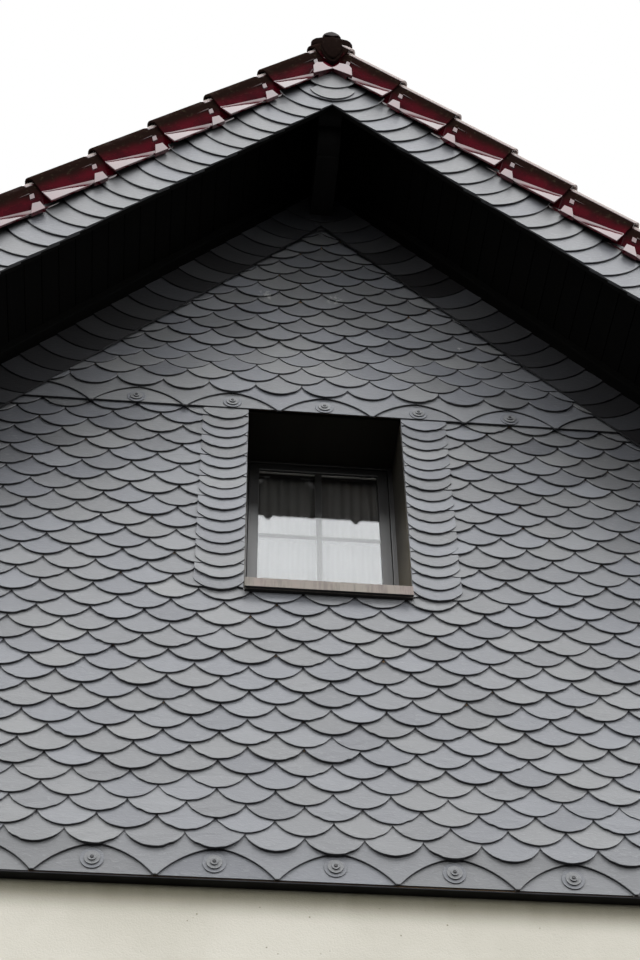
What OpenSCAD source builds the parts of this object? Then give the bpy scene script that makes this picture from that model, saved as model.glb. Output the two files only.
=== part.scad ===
// Slate-hung gabled dormer window with a tiled, overhanging roof, in millimetres.
// The facade faces -Y, +X is to the right and +Z is up. Heights are measured from the foot of the wall.

/* [Overall] */
// Width over the slate faces of the two cheeks
body_w = 3100; // [2600:10:3800]
// Depth from the front slates to the open rear end
body_d = 2200; // [1500:10:3000]
// Height of the rendered strip below the slates
base_h = 450; // [300:10:900]
// Height of the soffit above the foot of the slates, where the front meets a cheek
eaves_up = 2390; // [1950:10:3000]
// Pitch of both roof slopes in degrees
roof_pitch = 47.2; // [38:0.1:57]

/* [Walls] */
// Thickness of each cheek wall behind its boards
cheek_wall_t = 200; // [140:5:260]
// Thickness of the boards and battens that carry the slates
boarding_t = 34; // [24:1:60]
// Thickness of the lapped slates
slate_t = 12; // [8:1:20]
// Thickness of the metal drip edge under the slates
drip_t = 4; // [2:1:8]

/* [Ornamental slates] */
// Width of one scale slate with its joint
slate_pitch = 200; // [160:5:260]
// Height of each scale slate that shows
slate_gauge = 62; // [50:1:80]
// Thickness of one single slate
single_t = 5; // [4:0.5:6]
// Width of the cut-off tip between two bows
bow_tip = 10; // [4:1:20]
// Height of each bow above the foot of its course
bow_rise = 115; // [80:1:140]
// Height of a rosette's middle above the foot of its course
rosette_up = 61; // [50:1:65]
// Thickness of each disc of a rosette
rosette_t = 4; // [3:0.5:6]
// Width of the border strips of slate along the rakes
rake_border_w = 242; // [180:2:300]
// Width of the border strips of slate beside the window
jamb_border_w = 195; // [150:5:240]
// How far the border strips stand out from the scales
border_out = 6; // [4:1:12]

/* [Window] */
// Width of the window opening between its linings
opening_w = 650; // [500:10:800]
// Height of the opening's head above the foot of the slates
head_up = 2337; // [1900:1:2400]
// Height of the opening from the sill's front edge to the head
opening_h = 1004; // [700:2:1300]
// Depth from the slate face to the window frame
reveal_d = 290; // [120:5:380]
// Depth of the window frame
frame_d = 60; // [50:1:90]
// Depth of the reveal on the room side of the frame
inner_reveal_d = 36; // [30:1:120]
// Thickness of the boards that line the opening
lining_t = 18; // [12:1:30]
// Width of the frame's jambs and head that shows beside the sash
frame_face = 19; // [12:1:40]
// Height of the frame's bottom rail
frame_foot = 58; // [40:1:80]
// Gap between frame and sash
sash_gap = 2; // [1:0.5:4]
// Width of the sash's stiles and top rail
sash_face = 44; // [34:1:60]
// Height of the sash's bottom rail
sash_foot = 95; // [50:1:110]
// Thickness of the sash
sash_t = 42; // [30:1:50]
// Width of the glazing bars
bar_w = 28; // [18:1:40]
// Depth of the glazing bars
bar_t = 16; // [10:1:20]
// Thickness of the glass
glass_t = 4; // [3:0.5:6]
// How far the glass sits in the sash
glass_rebate = 6; // [4:1:12]
// Height of the sill's front edge
sill_face = 48; // [30:1:70]
// How far the sill stands out from the slates
sill_out = 30; // [15:1:60]
// Rise of the sill's top from front to frame
sill_rise = 17; // [8:1:40]
// Diameter of the curtain rod
rod_d = 10; // [6:1:16]
// Thickness of the space that the hanging net takes
net_t = 18; // [10:1:24]

/* [Roof frame] */
// Distance from the slate face to the face of the verge slates
verge_out = 600; // [300:10:700]
// Overhang of the roof boards beyond each cheek
eaves_out = 250; // [120:10:350]
// Depth of the rafters across the slope
rafter_h = 150; // [120:5:200]
// Width of each rafter
rafter_w = 80; // [60:5:120]
// Number of rafters behind the front wall, on each slope
rafter_n = 5; // [3:1:8]
// Thickness of the roof boards
deck_t = 22; // [18:1:30]
// Height of battens and counter battens together
batten_h = 50; // [40:2:80]
// Width of each batten
batten_w = 40; // [30:2:60]
// Thickness of the board that carries the ridge tiles
ridge_board_t = 30; // [22:2:38]
// Thickness of the soffit boards
soffit_t = 20; // [14:1:28]
// Height of the trim that covers the corner between soffit and slates
trim_h = 40; // [20:1:50]
// Depth of that trim
trim_d = 80; // [40:2:120]
// Width of the ridge purlin
purlin_w = 110; // [80:5:160]
// Height of the ridge purlin's side
purlin_h = 214; // [200:2:260]
// Length of the ridge purlin's carved end
carved_l = 209; // [150:1:240]
// Width of each wall plate, which ends behind the front boards
plate_w = 120; // [90:5:160]
// Height of each wall plate's outer side
plate_h = 140; // [130:5:200]
// Thickness of the collar ties
collar_t = 32; // [24:1:50]
// Height of the collar ties
collar_h = 120; // [80:5:160]
// Drop from the soffit planes' apex to the top of the collar ties
collar_drop = 640; // [450:10:900]

/* [Verge and eaves] */
// Thickness of the bargeboards
barge_t = 25; // [18:1:40]
// Thickness of the slates on the bargeboards
barge_slate_t = 8; // [6:1:14]
// How far the bargeboards reach below the soffit, across the slope
barge_drop = 128; // [80:2:180]
// Thickness of the fascia boards
fascia_t = 25; // [18:1:35]
// How far the fascia hangs below the rafters
fascia_drop = 20; // [0:1:60]

/* [Roof covering] */
// Length of each tile that shows, along the slope
tile_gauge = 358; // [290:2:440]
// Length of each tile hidden under the one above
tile_lap = 50; // [40:1:90]
// Thickness of the tiles
tile_t = 14; // [10:1:18]
// Width of one tile that shows
tile_w = 200; // [180:5:260]
// Height of a tile's roll above its pan
roll_h = 24; // [16:1:36]
// Width of a tile's roll
roll_w = 70; // [50:1:90]
// How far the lowest tiles reach past the roof boards
tile_drip = 17; // [10:1:60]
// Width of the roof that the verge tiles cover, from the face of the verge slates
verge_cover = 160; // [120:5:200]
// Outer radius of a verge tile's half-round crest
verge_roll_r = 40; // [32:1:50]
// Depth of a verge tile's leg below its crest, across the slope
verge_leg_h = 250; // [230:2:260]
// Depth of the skirt on the outside of the crest, below the crest's middle
skirt_h = 55; // [40:1:60]
// How far that skirt stands out from the leg
skirt_out = 4; // [2:1:8]
// Height of the flared lip at a verge tile's nose
lip_nose_h = 108; // [70:2:120]
// Height of the flared lip where it runs out
lip_head_h = 61; // [40:1:66]
// Angle at which the lip flares out from the leg, in degrees
lip_flare = 13; // [8:1:18]
// Length of the lug near the head of a verge tile
lug_l = 100; // [80:2:110]
// Height of that lug
lug_h = 87; // [76:1:100]
// Gap between the verge slates and the verge tiles' legs
verge_gap = 6; // [3:1:12]
// Outer radius of the ridge tiles
ridge_r = 112; // [90:1:140]
// Length of one ridge tile
ridge_tile_l = 400; // [300:10:450]
// Length of the collar at the front of each ridge tile
collar_l = 55; // [30:5:90]
// Thickness of that collar
collar_out = 8; // [5:1:14]
// Thickness of the ridge end's plate
cap_t = 12; // [8:1:20]
// Thickness of the tongue and crown on that plate
crown_t = 14; // [6:1:20]
// Depth of the tongue below the foot of the ridge tiles
tongue_h = 195; // [120:5:220]
// Height of the crown's tip above the foot of the ridge tiles
crown_h = 112; // [100:1:150]

/* [Hidden] */
$fn = 64;
clad_t = boarding_t + slate_t;
half_w = body_w / 2;
core_half = half_w - clad_t;
front_in = reveal_d + frame_d + inner_reveal_d;
slate_foot = base_h;
soffit_z = slate_foot + eaves_up;
apex_z = soffit_z + half_w * tan(roof_pitch);
head_z = slate_foot + head_up;
sill_z = head_z - opening_h;
sill_under = sill_z - sill_face;
sill_back = sill_z + sill_rise;
open_half = opening_w / 2;
rough_half = open_half + lining_t;
rough_head = head_z + lining_t;
frame_in_half = open_half - frame_face;
frame_in_head = head_z - frame_face / 2;
sash_half = frame_in_half - sash_gap;
sash_foot_z = sill_back + frame_foot + sash_gap;
sash_head_z = frame_in_head - sash_gap;
glass_half = sash_half - sash_face;
glass_foot_z = sash_foot_z + sash_foot;
glass_head_z = sash_head_z - 0.8 * sash_face;
sash_y = reveal_d + 8;
glass_y = sash_y + 8;
rod_y = reveal_d + frame_d + inner_reveal_d / 2;
rod_z = (glass_head_z + sash_head_z) / 2;
barge_back = -(verge_out - barge_slate_t - barge_t);
deck_front = -(verge_out - barge_slate_t);
deck_half = half_w + eaves_out;
rafter_end = deck_half - fascia_t;
rafter_step = (body_d - rafter_w - (front_in - rafter_w)) / (rafter_n - 1);
rafter_ys = [for (i = [0 : rafter_n - 1]) front_in - rafter_w + i * rafter_step];
plate_inset = 80;
plate_out = core_half - plate_inset;
plate_in = plate_out - plate_w;
tile_h0 = rafter_h + deck_t + batten_h;
tile_rise = tile_t + 2;
tile_l = tile_gauge + tile_lap;
nose_h = tile_h0 + tile_rise * tile_l / tile_gauge;
nose_s = (deck_half + tile_drip - nose_h * sin(roof_pitch)) / cos(roof_pitch);
course_n = ceil((nose_s + tile_h0 * tan(roof_pitch)) / tile_gauge);
tile_tilt = atan(tile_rise / tile_gauge);
crest_h = nose_h + tile_t + roll_h;
verge_y = -(verge_out + verge_gap);
verge_nose_y = verge_y - tile_t - tile_l * tan(tile_tilt);
verge_inner = verge_y + verge_cover;
verge_flange = verge_inner - verge_nose_y;
verge_foot = tile_t + verge_roll_r - verge_leg_h;
joint = 3;
lip_out = lip_nose_h * tan(lip_flare);
ridge_z = slope_z(ridge_r - tile_t, crest_h);
ridge_front = verge_y - tile_t - lug_h * tan(lip_flare);
cap_front = ridge_front - cap_t - crown_t;
mid_y = (body_d + min(cap_front, verge_nose_y - lip_out)) / 2;
rosette_radii = [40, 26, 13];
nail_r = 4;
bow_half = slate_pitch - bow_tip / 2;
bow_r = (bow_half * bow_half + bow_rise * bow_rise) / (2 * bow_rise);
scale_half = slate_pitch / 2;
scale_r = (scale_half * scale_half + slate_gauge * slate_gauge) / (2 * slate_gauge);
course_h = bow_rise + 1.2 * slate_gauge;
strip_foot = sill_under - slate_gauge;

// Height of a plane that lies h above the soffit plane, measured across the slope, at distance x from the middle
function slope_z(x, h) = apex_z + h / cos(roof_pitch) - abs(x) * tan(roof_pitch);

// Extrudes a profile drawn in X and Z from y0 to y1
module along_y(y0, y1) {
    translate([0, y1, 0])
        rotate([90, 0, 0])
            linear_extrude(height = y1 - y0)
                children();
}

// Extrudes a profile drawn in Y and Z from x0 to x1
module along_x(x0, x1) {
    translate([x0, 0, 0])
        rotate([90, 0, 90])
            linear_extrude(height = x1 - x0)
                children();
}

// Rectangle between two corners
module rect(x0, z0, x1, z1) {
    translate([x0, z0])
        square([x1 - x0, z1 - z0]);
}

// Everything under a plane h above the soffit planes, down to the ground
module under_roof(h) {
    reach = deck_half + 400;
    polygon([[-reach, slope_z(reach, h)], [0, slope_z(0, h)], [reach, slope_z(reach, h)], [reach, 0], [-reach, 0]]);
}

// Puts its children in slope coordinates: X down the slope from the apex, Z across the slope
module on_slope() {
    translate([0, 0, apex_z])
        rotate([0, roof_pitch, 0])
            children();
}

// Slab of one slope between two heights across the slope, with plumb ends at x0 and x1
module slope_slab(x0, x1, h0, h1, y0, y1) {
    along_y(y0, y1)
        polygon([[x0, slope_z(x0, h0)], [x1, slope_z(x1, h0)], [x1, slope_z(x1, h1)], [x0, slope_z(x0, h1)]]);
}

// Height of the ridge purlin's underside
function purlin_foot() = slope_z(purlin_w / 2, 0) - purlin_h;

// Height of the wall plates' underside
function plate_foot() = slope_z(plate_out, 0) - plate_h;

// Pocket for the ridge purlin, open at the top
module purlin_pocket() {
    rect(-purlin_w / 2, purlin_foot(), purlin_w / 2, apex_z + 10);
}

// Pocket for the right wall plate, open at the top
module plate_pocket() {
    rect(plate_in, plate_foot(), plate_out, apex_z);
}

// Part of the front between the ground and the roof that the purlin doesn't pass through
module front_face() {
    difference() {
        under_roof(0);
        purlin_pocket();
    }
}

// The same part of the wall behind the boards, where the wall plates lie too
module wall_face() {
    difference() {
        front_face();
        plate_pocket();
        mirror([1, 0]) plate_pocket();
    }
}

// Side view of a beam whose front end is carved in two quarter rounds behind a notch
module carved_side(foot, top, back) {
    notch = 14;
    flat = 14;
    least = 20;
    round_1 = 0.5 * (carved_l - 2 * flat);
    round_2 = carved_l - 2 * flat - round_1;
    y1 = barge_back + carved_l;
    y2 = y1 - flat;
    y3 = y2 - round_1;
    y4 = y3 - flat;
    k = min(1, (top - foot - notch - least) / (round_1 + round_2));
    rect(y1, foot, back, top);
    rect(y2, foot + notch, y1 + 1, top);
    quarter(y2, foot + notch, round_1, k, top);
    rect(y4, foot + notch + k * round_1, y3 + 1, top);
    quarter(y4, foot + notch + k * round_1, round_2, k, top);
}

// Convex quarter round that starts at (y, z) and rises to the front, filled up to top
module quarter(y, z, r, k, top) {
    steps = 10;
    arc = [for (i = [0 : steps]) [y - r * sin(90 * i / steps), z + k * r * (1 - cos(90 * i / steps))]];
    polygon(concat([[y + 1, top], [y + 1, z]], arc, [[y - r, top]]));
}

// Window opening in the plane of the wall, from the sill's underside to the head
module opening(half, head) {
    rect(-half, sill_under, half, head);
}

module front_wall_below() {
    color("wheat")
        along_y(clad_t, front_in)
            intersection() {
                rect(-core_half, 0, core_half, sill_under);
                wall_face();
            }
}

module front_wall_side() {
    color("wheat")
        along_y(clad_t, front_in)
            intersection() {
                rect(rough_half, sill_under, core_half, rough_head);
                wall_face();
            }
}

module front_wall_gable() {
    color("wheat")
        along_y(clad_t, front_in)
            intersection() {
                rect(-core_half, rough_head, core_half, apex_z);
                wall_face();
            }
}

module cheek_wall() {
    color("wheat")
        along_y(front_in, body_d)
            difference() {
                intersection() {
                    rect(core_half - cheek_wall_t, 0, core_half, apex_z);
                    under_roof(0);
                }
                rect(plate_in - cheek_wall_t, plate_foot(), plate_out, apex_z);
            }
}

module front_boarding() {
    color("saddlebrown")
        along_y(slate_t, clad_t)
            intersection() {
                difference() {
                    rect(slate_t - half_w, slate_foot, half_w - slate_t, apex_z);
                    opening(rough_half, rough_head);
                }
                front_face();
            }
}

// Row of round slate ends side by side, lowest at height z, from the middle outwards as far as half
module scale_row(z, half) {
    count = ceil(half / slate_pitch);
    for (i = [-count : count])
        intersection() {
            translate([slate_pitch * i, z + scale_r]) circle(r = scale_r);
            rect(slate_pitch * i - scale_half, z - 1, slate_pitch * i + scale_half, z + 1.5 * slate_gauge);
        }
}

// Field of scales between two heights, inside the rake borders
module scale_field(foot, head) {
    intersection() {
        rect(-half_w, foot, half_w, head);
        under_roof(-rake_border_w);
        front_face();
    }
}

// Border strip beside the window with a round slate at its foot
module jamb_border() {
    middle = open_half + jamb_border_w / 2;
    rect(open_half, strip_foot + slate_gauge, open_half + jamb_border_w, head_z);
    intersection() {
        translate([middle, strip_foot + scale_r]) circle(r = scale_r);
        rect(open_half, strip_foot - 1, open_half + jamb_border_w, strip_foot + slate_gauge + 1);
    }
}

module front_slates() {
    color("slategray") {
        along_y(0, slate_t)
            difference() {
                union() {
                    scale_field(slate_foot + course_h, head_z);
                    scale_field(head_z + course_h, apex_z);
                }
                opening(open_half, head_z);
            }
        along_y(slate_t - 3 * single_t, slate_t - 2 * single_t)
            for (foot = [slate_foot, head_z])
                intersection() {
                    scale_row(foot + bow_rise, half_w);
                    scale_field(foot, apex_z);
                }
        along_y(-border_out, slate_t)
            difference() {
                intersection() {
                    rect(-half_w, slate_foot, half_w, apex_z);
                    front_face();
                }
                under_roof(-rake_border_w);
            }
        for (side = [0, 1])
            mirror([side, 0, 0])
                along_y(-border_out, 0) jamb_border();
    }
}

// Cladding layer of the right cheek between two distances from the middle
module cheek_layer(x0, x1, y0) {
    along_y(y0, body_d)
        intersection() {
            rect(x0, slate_foot, x1, apex_z);
            under_roof(0);
        }
}

module cheek_boarding() {
    color("saddlebrown") cheek_layer(core_half, half_w - slate_t, clad_t);
}

module cheek_slates() {
    color("slategray") cheek_layer(half_w - slate_t, half_w, slate_t);
}

// Circle whose upper arc is the edge of a bow, in the course that starts at the height foot
module bow_circle(foot) {
    translate([0, foot + bow_rise - bow_r]) circle(r = bow_r);
}

// Rosette of three stacked slate discs with a nail, on the plane Y = y
module rosette(y, z) {
    for (i = [0 : 2])
        translate([0, y - i * rosette_t, z])
            rotate([90, 0, 0])
                cylinder(r = rosette_radii[i], h = rosette_t);
    translate([0, y - 3 * rosette_t, z])
        rotate([90, 0, 0])
            cylinder(r = nail_r, h = 2);
}

// Ornamental course from the height foot: flat slates with rosettes under pointed slates cut in bows
module bow_course(foot, half) {
    step = 2 * slate_pitch;
    count = ceil((half - slate_pitch) / step);
    base_y = slate_t - single_t;
    for (i = [-count : count])
        along_y(base_y, slate_t)
            intersection() {
                rect(step * i - slate_pitch + 1, foot, step * i + slate_pitch - 1, foot + course_h);
                scale_field(foot, foot + course_h);
            }
    for (i = [-count : count])
        if (step * abs(i) + rosette_radii[0] < half - rosette_radii[0])
            translate([step * i, 0, 0]) rosette(base_y, foot + rosette_up);
    for (i = [-count - 1 : count])
        along_y(base_y - single_t, base_y)
            intersection() {
                difference() {
                    rect(step * i + 1, foot, step * (i + 1) - 1, foot + course_h);
                    translate([step * i, 0]) bow_circle(foot);
                    translate([step * (i + 1), 0]) bow_circle(foot);
                }
                scale_field(foot, foot + course_h);
            }
}

module bow_slates() {
    rake_foot = (slope_z(0, -rake_border_w) - head_z) / tan(roof_pitch);
    color("lightslategray") {
        bow_course(slate_foot, half_w);
        bow_course(head_z, min(half_w, rake_foot));
    }
}

module drip_edge() {
    color("black") {
        along_y(drip_t, clad_t)
            rect(drip_t - half_w, slate_foot - drip_t, half_w - drip_t, slate_foot);
        for (side = [0, 1])
            mirror([side, 0, 0])
                along_y(clad_t, body_d)
                    rect(core_half, slate_foot - drip_t, half_w - drip_t, slate_foot);
    }
}

// Sill with a rounded front edge and a drip groove along its underside
module window_sill() {
    nose_r = 5;
    groove_r = 4;
    color("rosybrown")
        along_x(-open_half, open_half)
            difference() {
                union() {
                    polygon([
                        [-sill_out, sill_under], [-sill_out, sill_z - nose_r], [nose_r - sill_out, sill_z],
                        [reveal_d, sill_back], [reveal_d + frame_d, sill_back], [reveal_d + frame_d, sill_under]
                    ]);
                    translate([nose_r - sill_out, sill_z - nose_r]) circle(r = nose_r);
                }
                translate([groove_r + 8 - sill_out, sill_under]) circle(r = groove_r);
            }
}

module head_lining() {
    color("saddlebrown")
        along_y(slate_t, reveal_d)
            rect(-rough_half, head_z, rough_half, rough_head);
}

module jamb_lining() {
    color("saddlebrown")
        along_y(slate_t, reveal_d)
            rect(open_half, sill_under, rough_half, head_z);
}

// Frame with a stop behind the sash
module window_frame() {
    stop = 12;
    stop_y = sash_y + sash_t;
    color("dimgray") {
        along_y(reveal_d, stop_y)
            difference() {
                rect(-rough_half, sill_back, rough_half, rough_head);
                rect(-frame_in_half, sill_back + frame_foot, frame_in_half, frame_in_head);
            }
        along_y(stop_y, reveal_d + frame_d)
            difference() {
                rect(-rough_half, sill_back, rough_half, rough_head);
                rect(stop - frame_in_half, sill_back + frame_foot + stop, frame_in_half - stop, frame_in_head - stop);
            }
    }
}

// Clear opening of the sash, widened by w on all sides
module pane(w) {
    rect(-glass_half - w, glass_foot_z - w, glass_half + w, glass_head_z + w);
}

// Sash whose pane sits in a rebate behind a bead, with glazing bars on the room side
module window_sash() {
    bar_z = (glass_foot_z + glass_head_z) / 2;
    color("dimgray") {
        difference() {
            along_y(sash_y, sash_y + sash_t)
                difference() {
                    rect(-sash_half, sash_foot_z, sash_half, sash_head_z);
                    pane(0);
                }
            along_y(glass_y, glass_y + glass_t) pane(glass_rebate);
        }
        along_y(glass_y + glass_t, glass_y + glass_t + bar_t) {
            rect(-bar_w / 2, glass_foot_z - 1, bar_w / 2, glass_head_z + 1);
            rect(-glass_half - 1, bar_z - bar_w / 2, glass_half + 1, bar_z + bar_w / 2);
        }
    }
}

module window_glass() {
    color("lightcyan") along_y(glass_y, glass_y + glass_t) pane(glass_rebate);
}

module net_curtain() {
    color("white")
        along_y(rod_y - net_t / 2, rod_y + net_t / 2)
            rect(6 - open_half, sill_back + 12, open_half - 6, rod_z - rod_d / 2);
}

module curtain_rod() {
    color("silver")
        translate([-rough_half, rod_y, rod_z])
            rotate([0, 90, 0])
                cylinder(d = rod_d, h = 2 * rough_half);
}

module ridge_purlin() {
    color("dimgray")
        intersection() {
            along_y(barge_back, body_d)
                intersection() {
                    purlin_pocket();
                    under_roof(0);
                }
            along_x(-purlin_w, purlin_w) carved_side(purlin_foot(), apex_z + 1, body_d);
        }
}

module wall_plate() {
    color("dimgray")
        along_x(plate_in, plate_out) rect(clad_t, plate_foot(), body_d, slope_z(plate_out, 0));
}

module rafters() {
    color("peru") {
        slope_slab(0, rafter_end, soffit_t, rafter_h, barge_back, barge_back + rafter_w);
        slope_slab(0, rafter_end, 0, rafter_h, clad_t, clad_t + rafter_w);
        for (y = rafter_ys)
            slope_slab(0, rafter_end, 0, rafter_h, y, y + rafter_w);
    }
}

module collar_ties() {
    top = apex_z - collar_drop;
    color("peru")
        for (i = [1 : rafter_n - 1])
            along_y(rafter_ys[i] - collar_t, rafter_ys[i])
                intersection() {
                    rect(-half_w, top - collar_h, half_w, top);
                    under_roof(rafter_h);
                }
}

module roof_boarding() {
    color("tan") slope_slab(0, deck_half, rafter_h, rafter_h + deck_t, deck_front, body_d);
}

// Battens of both slopes, one under the head of each course and one at the eaves, and the board under the ridge
module roof_battens() {
    half_t = ridge_board_t / 2;
    ridge_top = ridge_z + sqrt(pow(ridge_r - tile_t, 2) - pow(half_t, 2));
    deck_top = rafter_h + deck_t;
    color("burlywood") {
        for (side = [0, 1])
            mirror([side, 0, 0])
                for (k = [0 : course_n])
                    clear_of_ridge()
                        batten(nose_s - k * tile_gauge - (k == 0 ? tile_drip + batten_w : tile_lap));
        along_y(deck_front, body_d)
            polygon([
                [-half_t, slope_z(half_t, deck_top)], [0, slope_z(0, deck_top)], [half_t, slope_z(half_t, deck_top)],
                [half_t, ridge_top], [-half_t, ridge_top]
            ]);
    }
}

// Batten whose upper edge lies at s down the slope
module batten(s) {
    on_slope()
        translate([s, deck_front, rafter_h + deck_t])
            cube([batten_w, body_d - deck_front, batten_h]);
}

// Soffit boards, and the trim in their corner with the slates, which stops at the purlin
module soffit() {
    shadow_gap = 1;
    color("dimgray") {
        slope_slab(0, rafter_end, 0, soffit_t, barge_back, clad_t);
        slope_slab(purlin_w / 2, half_w, -trim_h, -shadow_gap, -border_out - trim_d, -border_out);
    }
}

module bargeboard() {
    color("dimgray") slope_slab(0, deck_half, -barge_drop, rafter_h, deck_front, barge_back);
}

module barge_slates() {
    color("slategray")
        for (side = [0, 1])
            mirror([side, 0, 0])
                slope_slab(0, deck_half, -barge_drop, rafter_h + deck_t, -verge_out, deck_front);
}

module fascia() {
    foot = slope_z(deck_half, 0) - fascia_drop;
    color("dimgray")
        along_y(barge_back, body_d)
            polygon([
                [rafter_end, foot], [deck_half, foot],
                [deck_half, slope_z(deck_half, rafter_h)], [rafter_end, slope_z(rafter_end, rafter_h)]
            ]);
}

// Height of a tile's upper face above its pan at distance y from the middle of a roll
function roll(y) = abs(y) < roll_w / 2 ? roll_h * pow(cos(180 * y / roll_w), 2) : 0;

// Section across a run of tiles from y0 to y1, rolls every tile_w, tile_t thick
module tile_section(y0, y1) {
    roll_ys = [-0.5, -0.25, 0, 0.25, 0.5] * roll_w;
    count = floor((y1 - y0) / tile_w + 0.001);
    ys = concat(
        [y0],
        [for (i = [0 : count - 1]) for (r = roll_ys) y0 + tile_w * (i + 0.5) + r],
        [y1]
    );
    top = [for (y = ys) [y, tile_t + roll((y - y0) % tile_w - tile_w / 2)]];
    foot = [for (i = [len(top) - 1 : -1 : 0]) [top[i][0], top[i][1] - tile_t]];
    polygon(concat(top, foot));
}

// Puts a tile drawn from its nose upwards, along -X, at s down the slope and tilts it onto the course below
module laid_tile(s) {
    on_slope()
        translate([s, 0, nose_h])
            rotate([0, -tile_tilt, 0])
                children();
}

// Extrudes a section drawn in Y and Z from the nose upwards over a length
module tile_run(l) {
    translate([-l, 0, 0])
        rotate([90, 0, 90])
            linear_extrude(height = l)
                children();
}

module roof_tiles() {
    color("firebrick")
        for (k = [0 : course_n - 1])
            clear_of_ridge()
                laid_tile(nose_s - k * tile_gauge)
                    tile_run(tile_l) tile_section(verge_inner, body_d);
}

// Keeps only what lies clear of the board under the ridge
module clear_of_ridge() {
    beside_middle(ridge_board_t / 2 + 5, 2 * verge_y) children();
}

// Keeps only what lies right of x and behind y
module beside_middle(x, y) {
    intersection() {
        children();
        translate([x, y, 0]) cube([2 * deck_half, body_d - y, 2 * apex_z]);
    }
}

// Points of a half circle about (y, z), from the side a0 over the top to the side a1
function half_round(y, z, r, a0, a1) =
    [for (i = [0 : 16]) let (a = a0 + (a1 - a0) * i / 16) [y + r * cos(a), z + r * sin(a)]];

// Section of a verge tile from its leg, over the skirt and the half-round crest, to its flange
module verge_section() {
    r = verge_roll_r;
    skirt_foot = tile_t - skirt_h;
    polygon(concat(
        [[0, verge_foot], [0, skirt_foot], [-skirt_out, skirt_foot + skirt_out]],
        half_round(r, tile_t, r + skirt_out, 180, 0), [[verge_flange, tile_t], [verge_flange, 0]],
        [[2 * r - tile_t, 0]], half_round(r, tile_t, r - tile_t, 0, 180), [[tile_t, verge_foot]]
    ));
}

// Plate on the outer face of a leg that flares out below the line from (0, z0) to (x1, z1)
module flared(z0, x1, z1) {
    reach = 2 * tile_l;
    intersection() {
        translate([0, tile_t / 2, 0])
            rotate([90, 0, 0])
                linear_extrude(height = reach)
                    children();
        translate([0, 0, z0])
            rotate([0, atan((z0 - z1) / x1), 0])
                rotate([-lip_flare, 0, 0])
                    translate([-reach, 0, -reach]) cube([2 * reach, reach, reach]);
    }
}

// Lip that flares out along the foot of the leg, highest at the nose, and the lug near the head
module verge_lip() {
    foot = verge_foot;
    root = 2;
    lug_inset = 24;
    lug_slant = 58;
    lug_0 = lug_inset - tile_gauge;
    lug_1 = lug_0 + lug_l;
    flared(foot + lip_nose_h, lug_1, foot + lip_head_h)
        polygon([
            [0, foot], [0, foot + lip_nose_h + root],
            [lug_1 - lug_slant * lip_head_h / lug_h - root, foot + lip_head_h + root],
            [lug_1 - root, foot]
        ]);
    flared(foot + lug_h, lug_0, foot + lug_h)
        polygon([
            [lug_1, foot], [lug_1 - lug_slant, foot + lug_h + root],
            [lug_0, foot + lug_h + root], [lug_0, foot]
        ]);
}

// Verge tile with its leg turned outwards towards the nose, and a flat tongue that lies under the next tile
module verge_tile() {
    translate([0, verge_nose_y, 0])
        rotate([0, 0, -tile_tilt]) {
            tile_run(tile_gauge - joint) verge_section();
            tile_run(tile_l) rect(2 * verge_roll_r, 0, verge_flange, tile_t);
            verge_lip();
        }
}

module verge_tiles() {
    color("darkred")
        for (k = [0 : course_n - 1])
            difference() {
                intersection() {
                    beside_middle(1, 2 * verge_y)
                        laid_tile(nose_s - k * tile_gauge) verge_tile();
                    translate([0, 2 * verge_y, 0])
                        cube([2 * deck_half, verge_inner - 2 - 2 * verge_y, 2 * apex_z]);
                }
                along_y(2 * verge_y, 0) rect(-ridge_r - 1, ridge_z, ridge_r + 1, 2 * apex_z);
                along_y(2 * verge_y, ridge_front) rect(-ridge_r - 1, 0, ridge_r + 1, 2 * apex_z);
            }
}

// Upper half of a disc about the axis of the ridge tiles
module half_disc(r) {
    intersection() {
        translate([0, ridge_z]) circle(r = r);
        rect(-r - 1, ridge_z, r + 1, ridge_z + r + 1);
    }
}

// Half-round ridge tiles, each with a collar at its front that covers the joint
module ridge_tiles() {
    count = ceil((body_d - ridge_front) / ridge_tile_l);
    color("firebrick")
        for (i = [0 : count - 1]) {
            y0 = ridge_front + i * ridge_tile_l;
            y1 = min(body_d, y0 + ridge_tile_l - 1);
            difference() {
                union() {
                    along_y(y0, y1) half_disc(ridge_r);
                    along_y(y0, min(y1, y0 + collar_l)) half_disc(ridge_r + collar_out);
                }
                along_y(y0 - 1, y1 + 1) half_disc(ridge_r - tile_t);
            }
        }
}

// Plate that closes the front of the ridge, with a pointed crown and a tongue over the joint of the verge tiles
module ridge_end_cap() {
    crown_r = 0.62 * ridge_r;
    arch_r = 1.3 * crown_r;
    color("saddlebrown") {
        along_y(cap_front + crown_t, ridge_front) {
            half_disc(ridge_r - 6);
            tongue(0.62 * ridge_r, tongue_h);
        }
        along_y(cap_front, cap_front + crown_t) {
            intersection_for (side = [-1, 1])
                translate([side * (arch_r - crown_r), ridge_z + crown_h - sqrt(pow(arch_r, 2) - pow(arch_r - crown_r, 2))])
                    circle(r = arch_r);
            tongue(0.5 * ridge_r, tongue_h - 14);
        }
    }
}

// Tongue that hangs from the foot of the ridge tiles and narrows in two bows to a point
module tongue(half, h) {
    steps = 12;
    side = [for (i = [0 : steps]) [half * cos(90 * i / steps), ridge_z + 20 - (h + 20) * pow(sin(90 * i / steps), 1.3)]];
    polygon(concat([[0, ridge_z + 20]], side));
    mirror([1, 0]) polygon(concat([[0, ridge_z + 20]], side));
}

// Moves the finished piece so that the origin lies below the middle of the whole
module place() {
    translate([0, -mid_y, 0]) children();
}

// The left-hand twin of a piece drawn on the right
module left() {
    place() mirror([1, 0, 0]) children();
}

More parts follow.
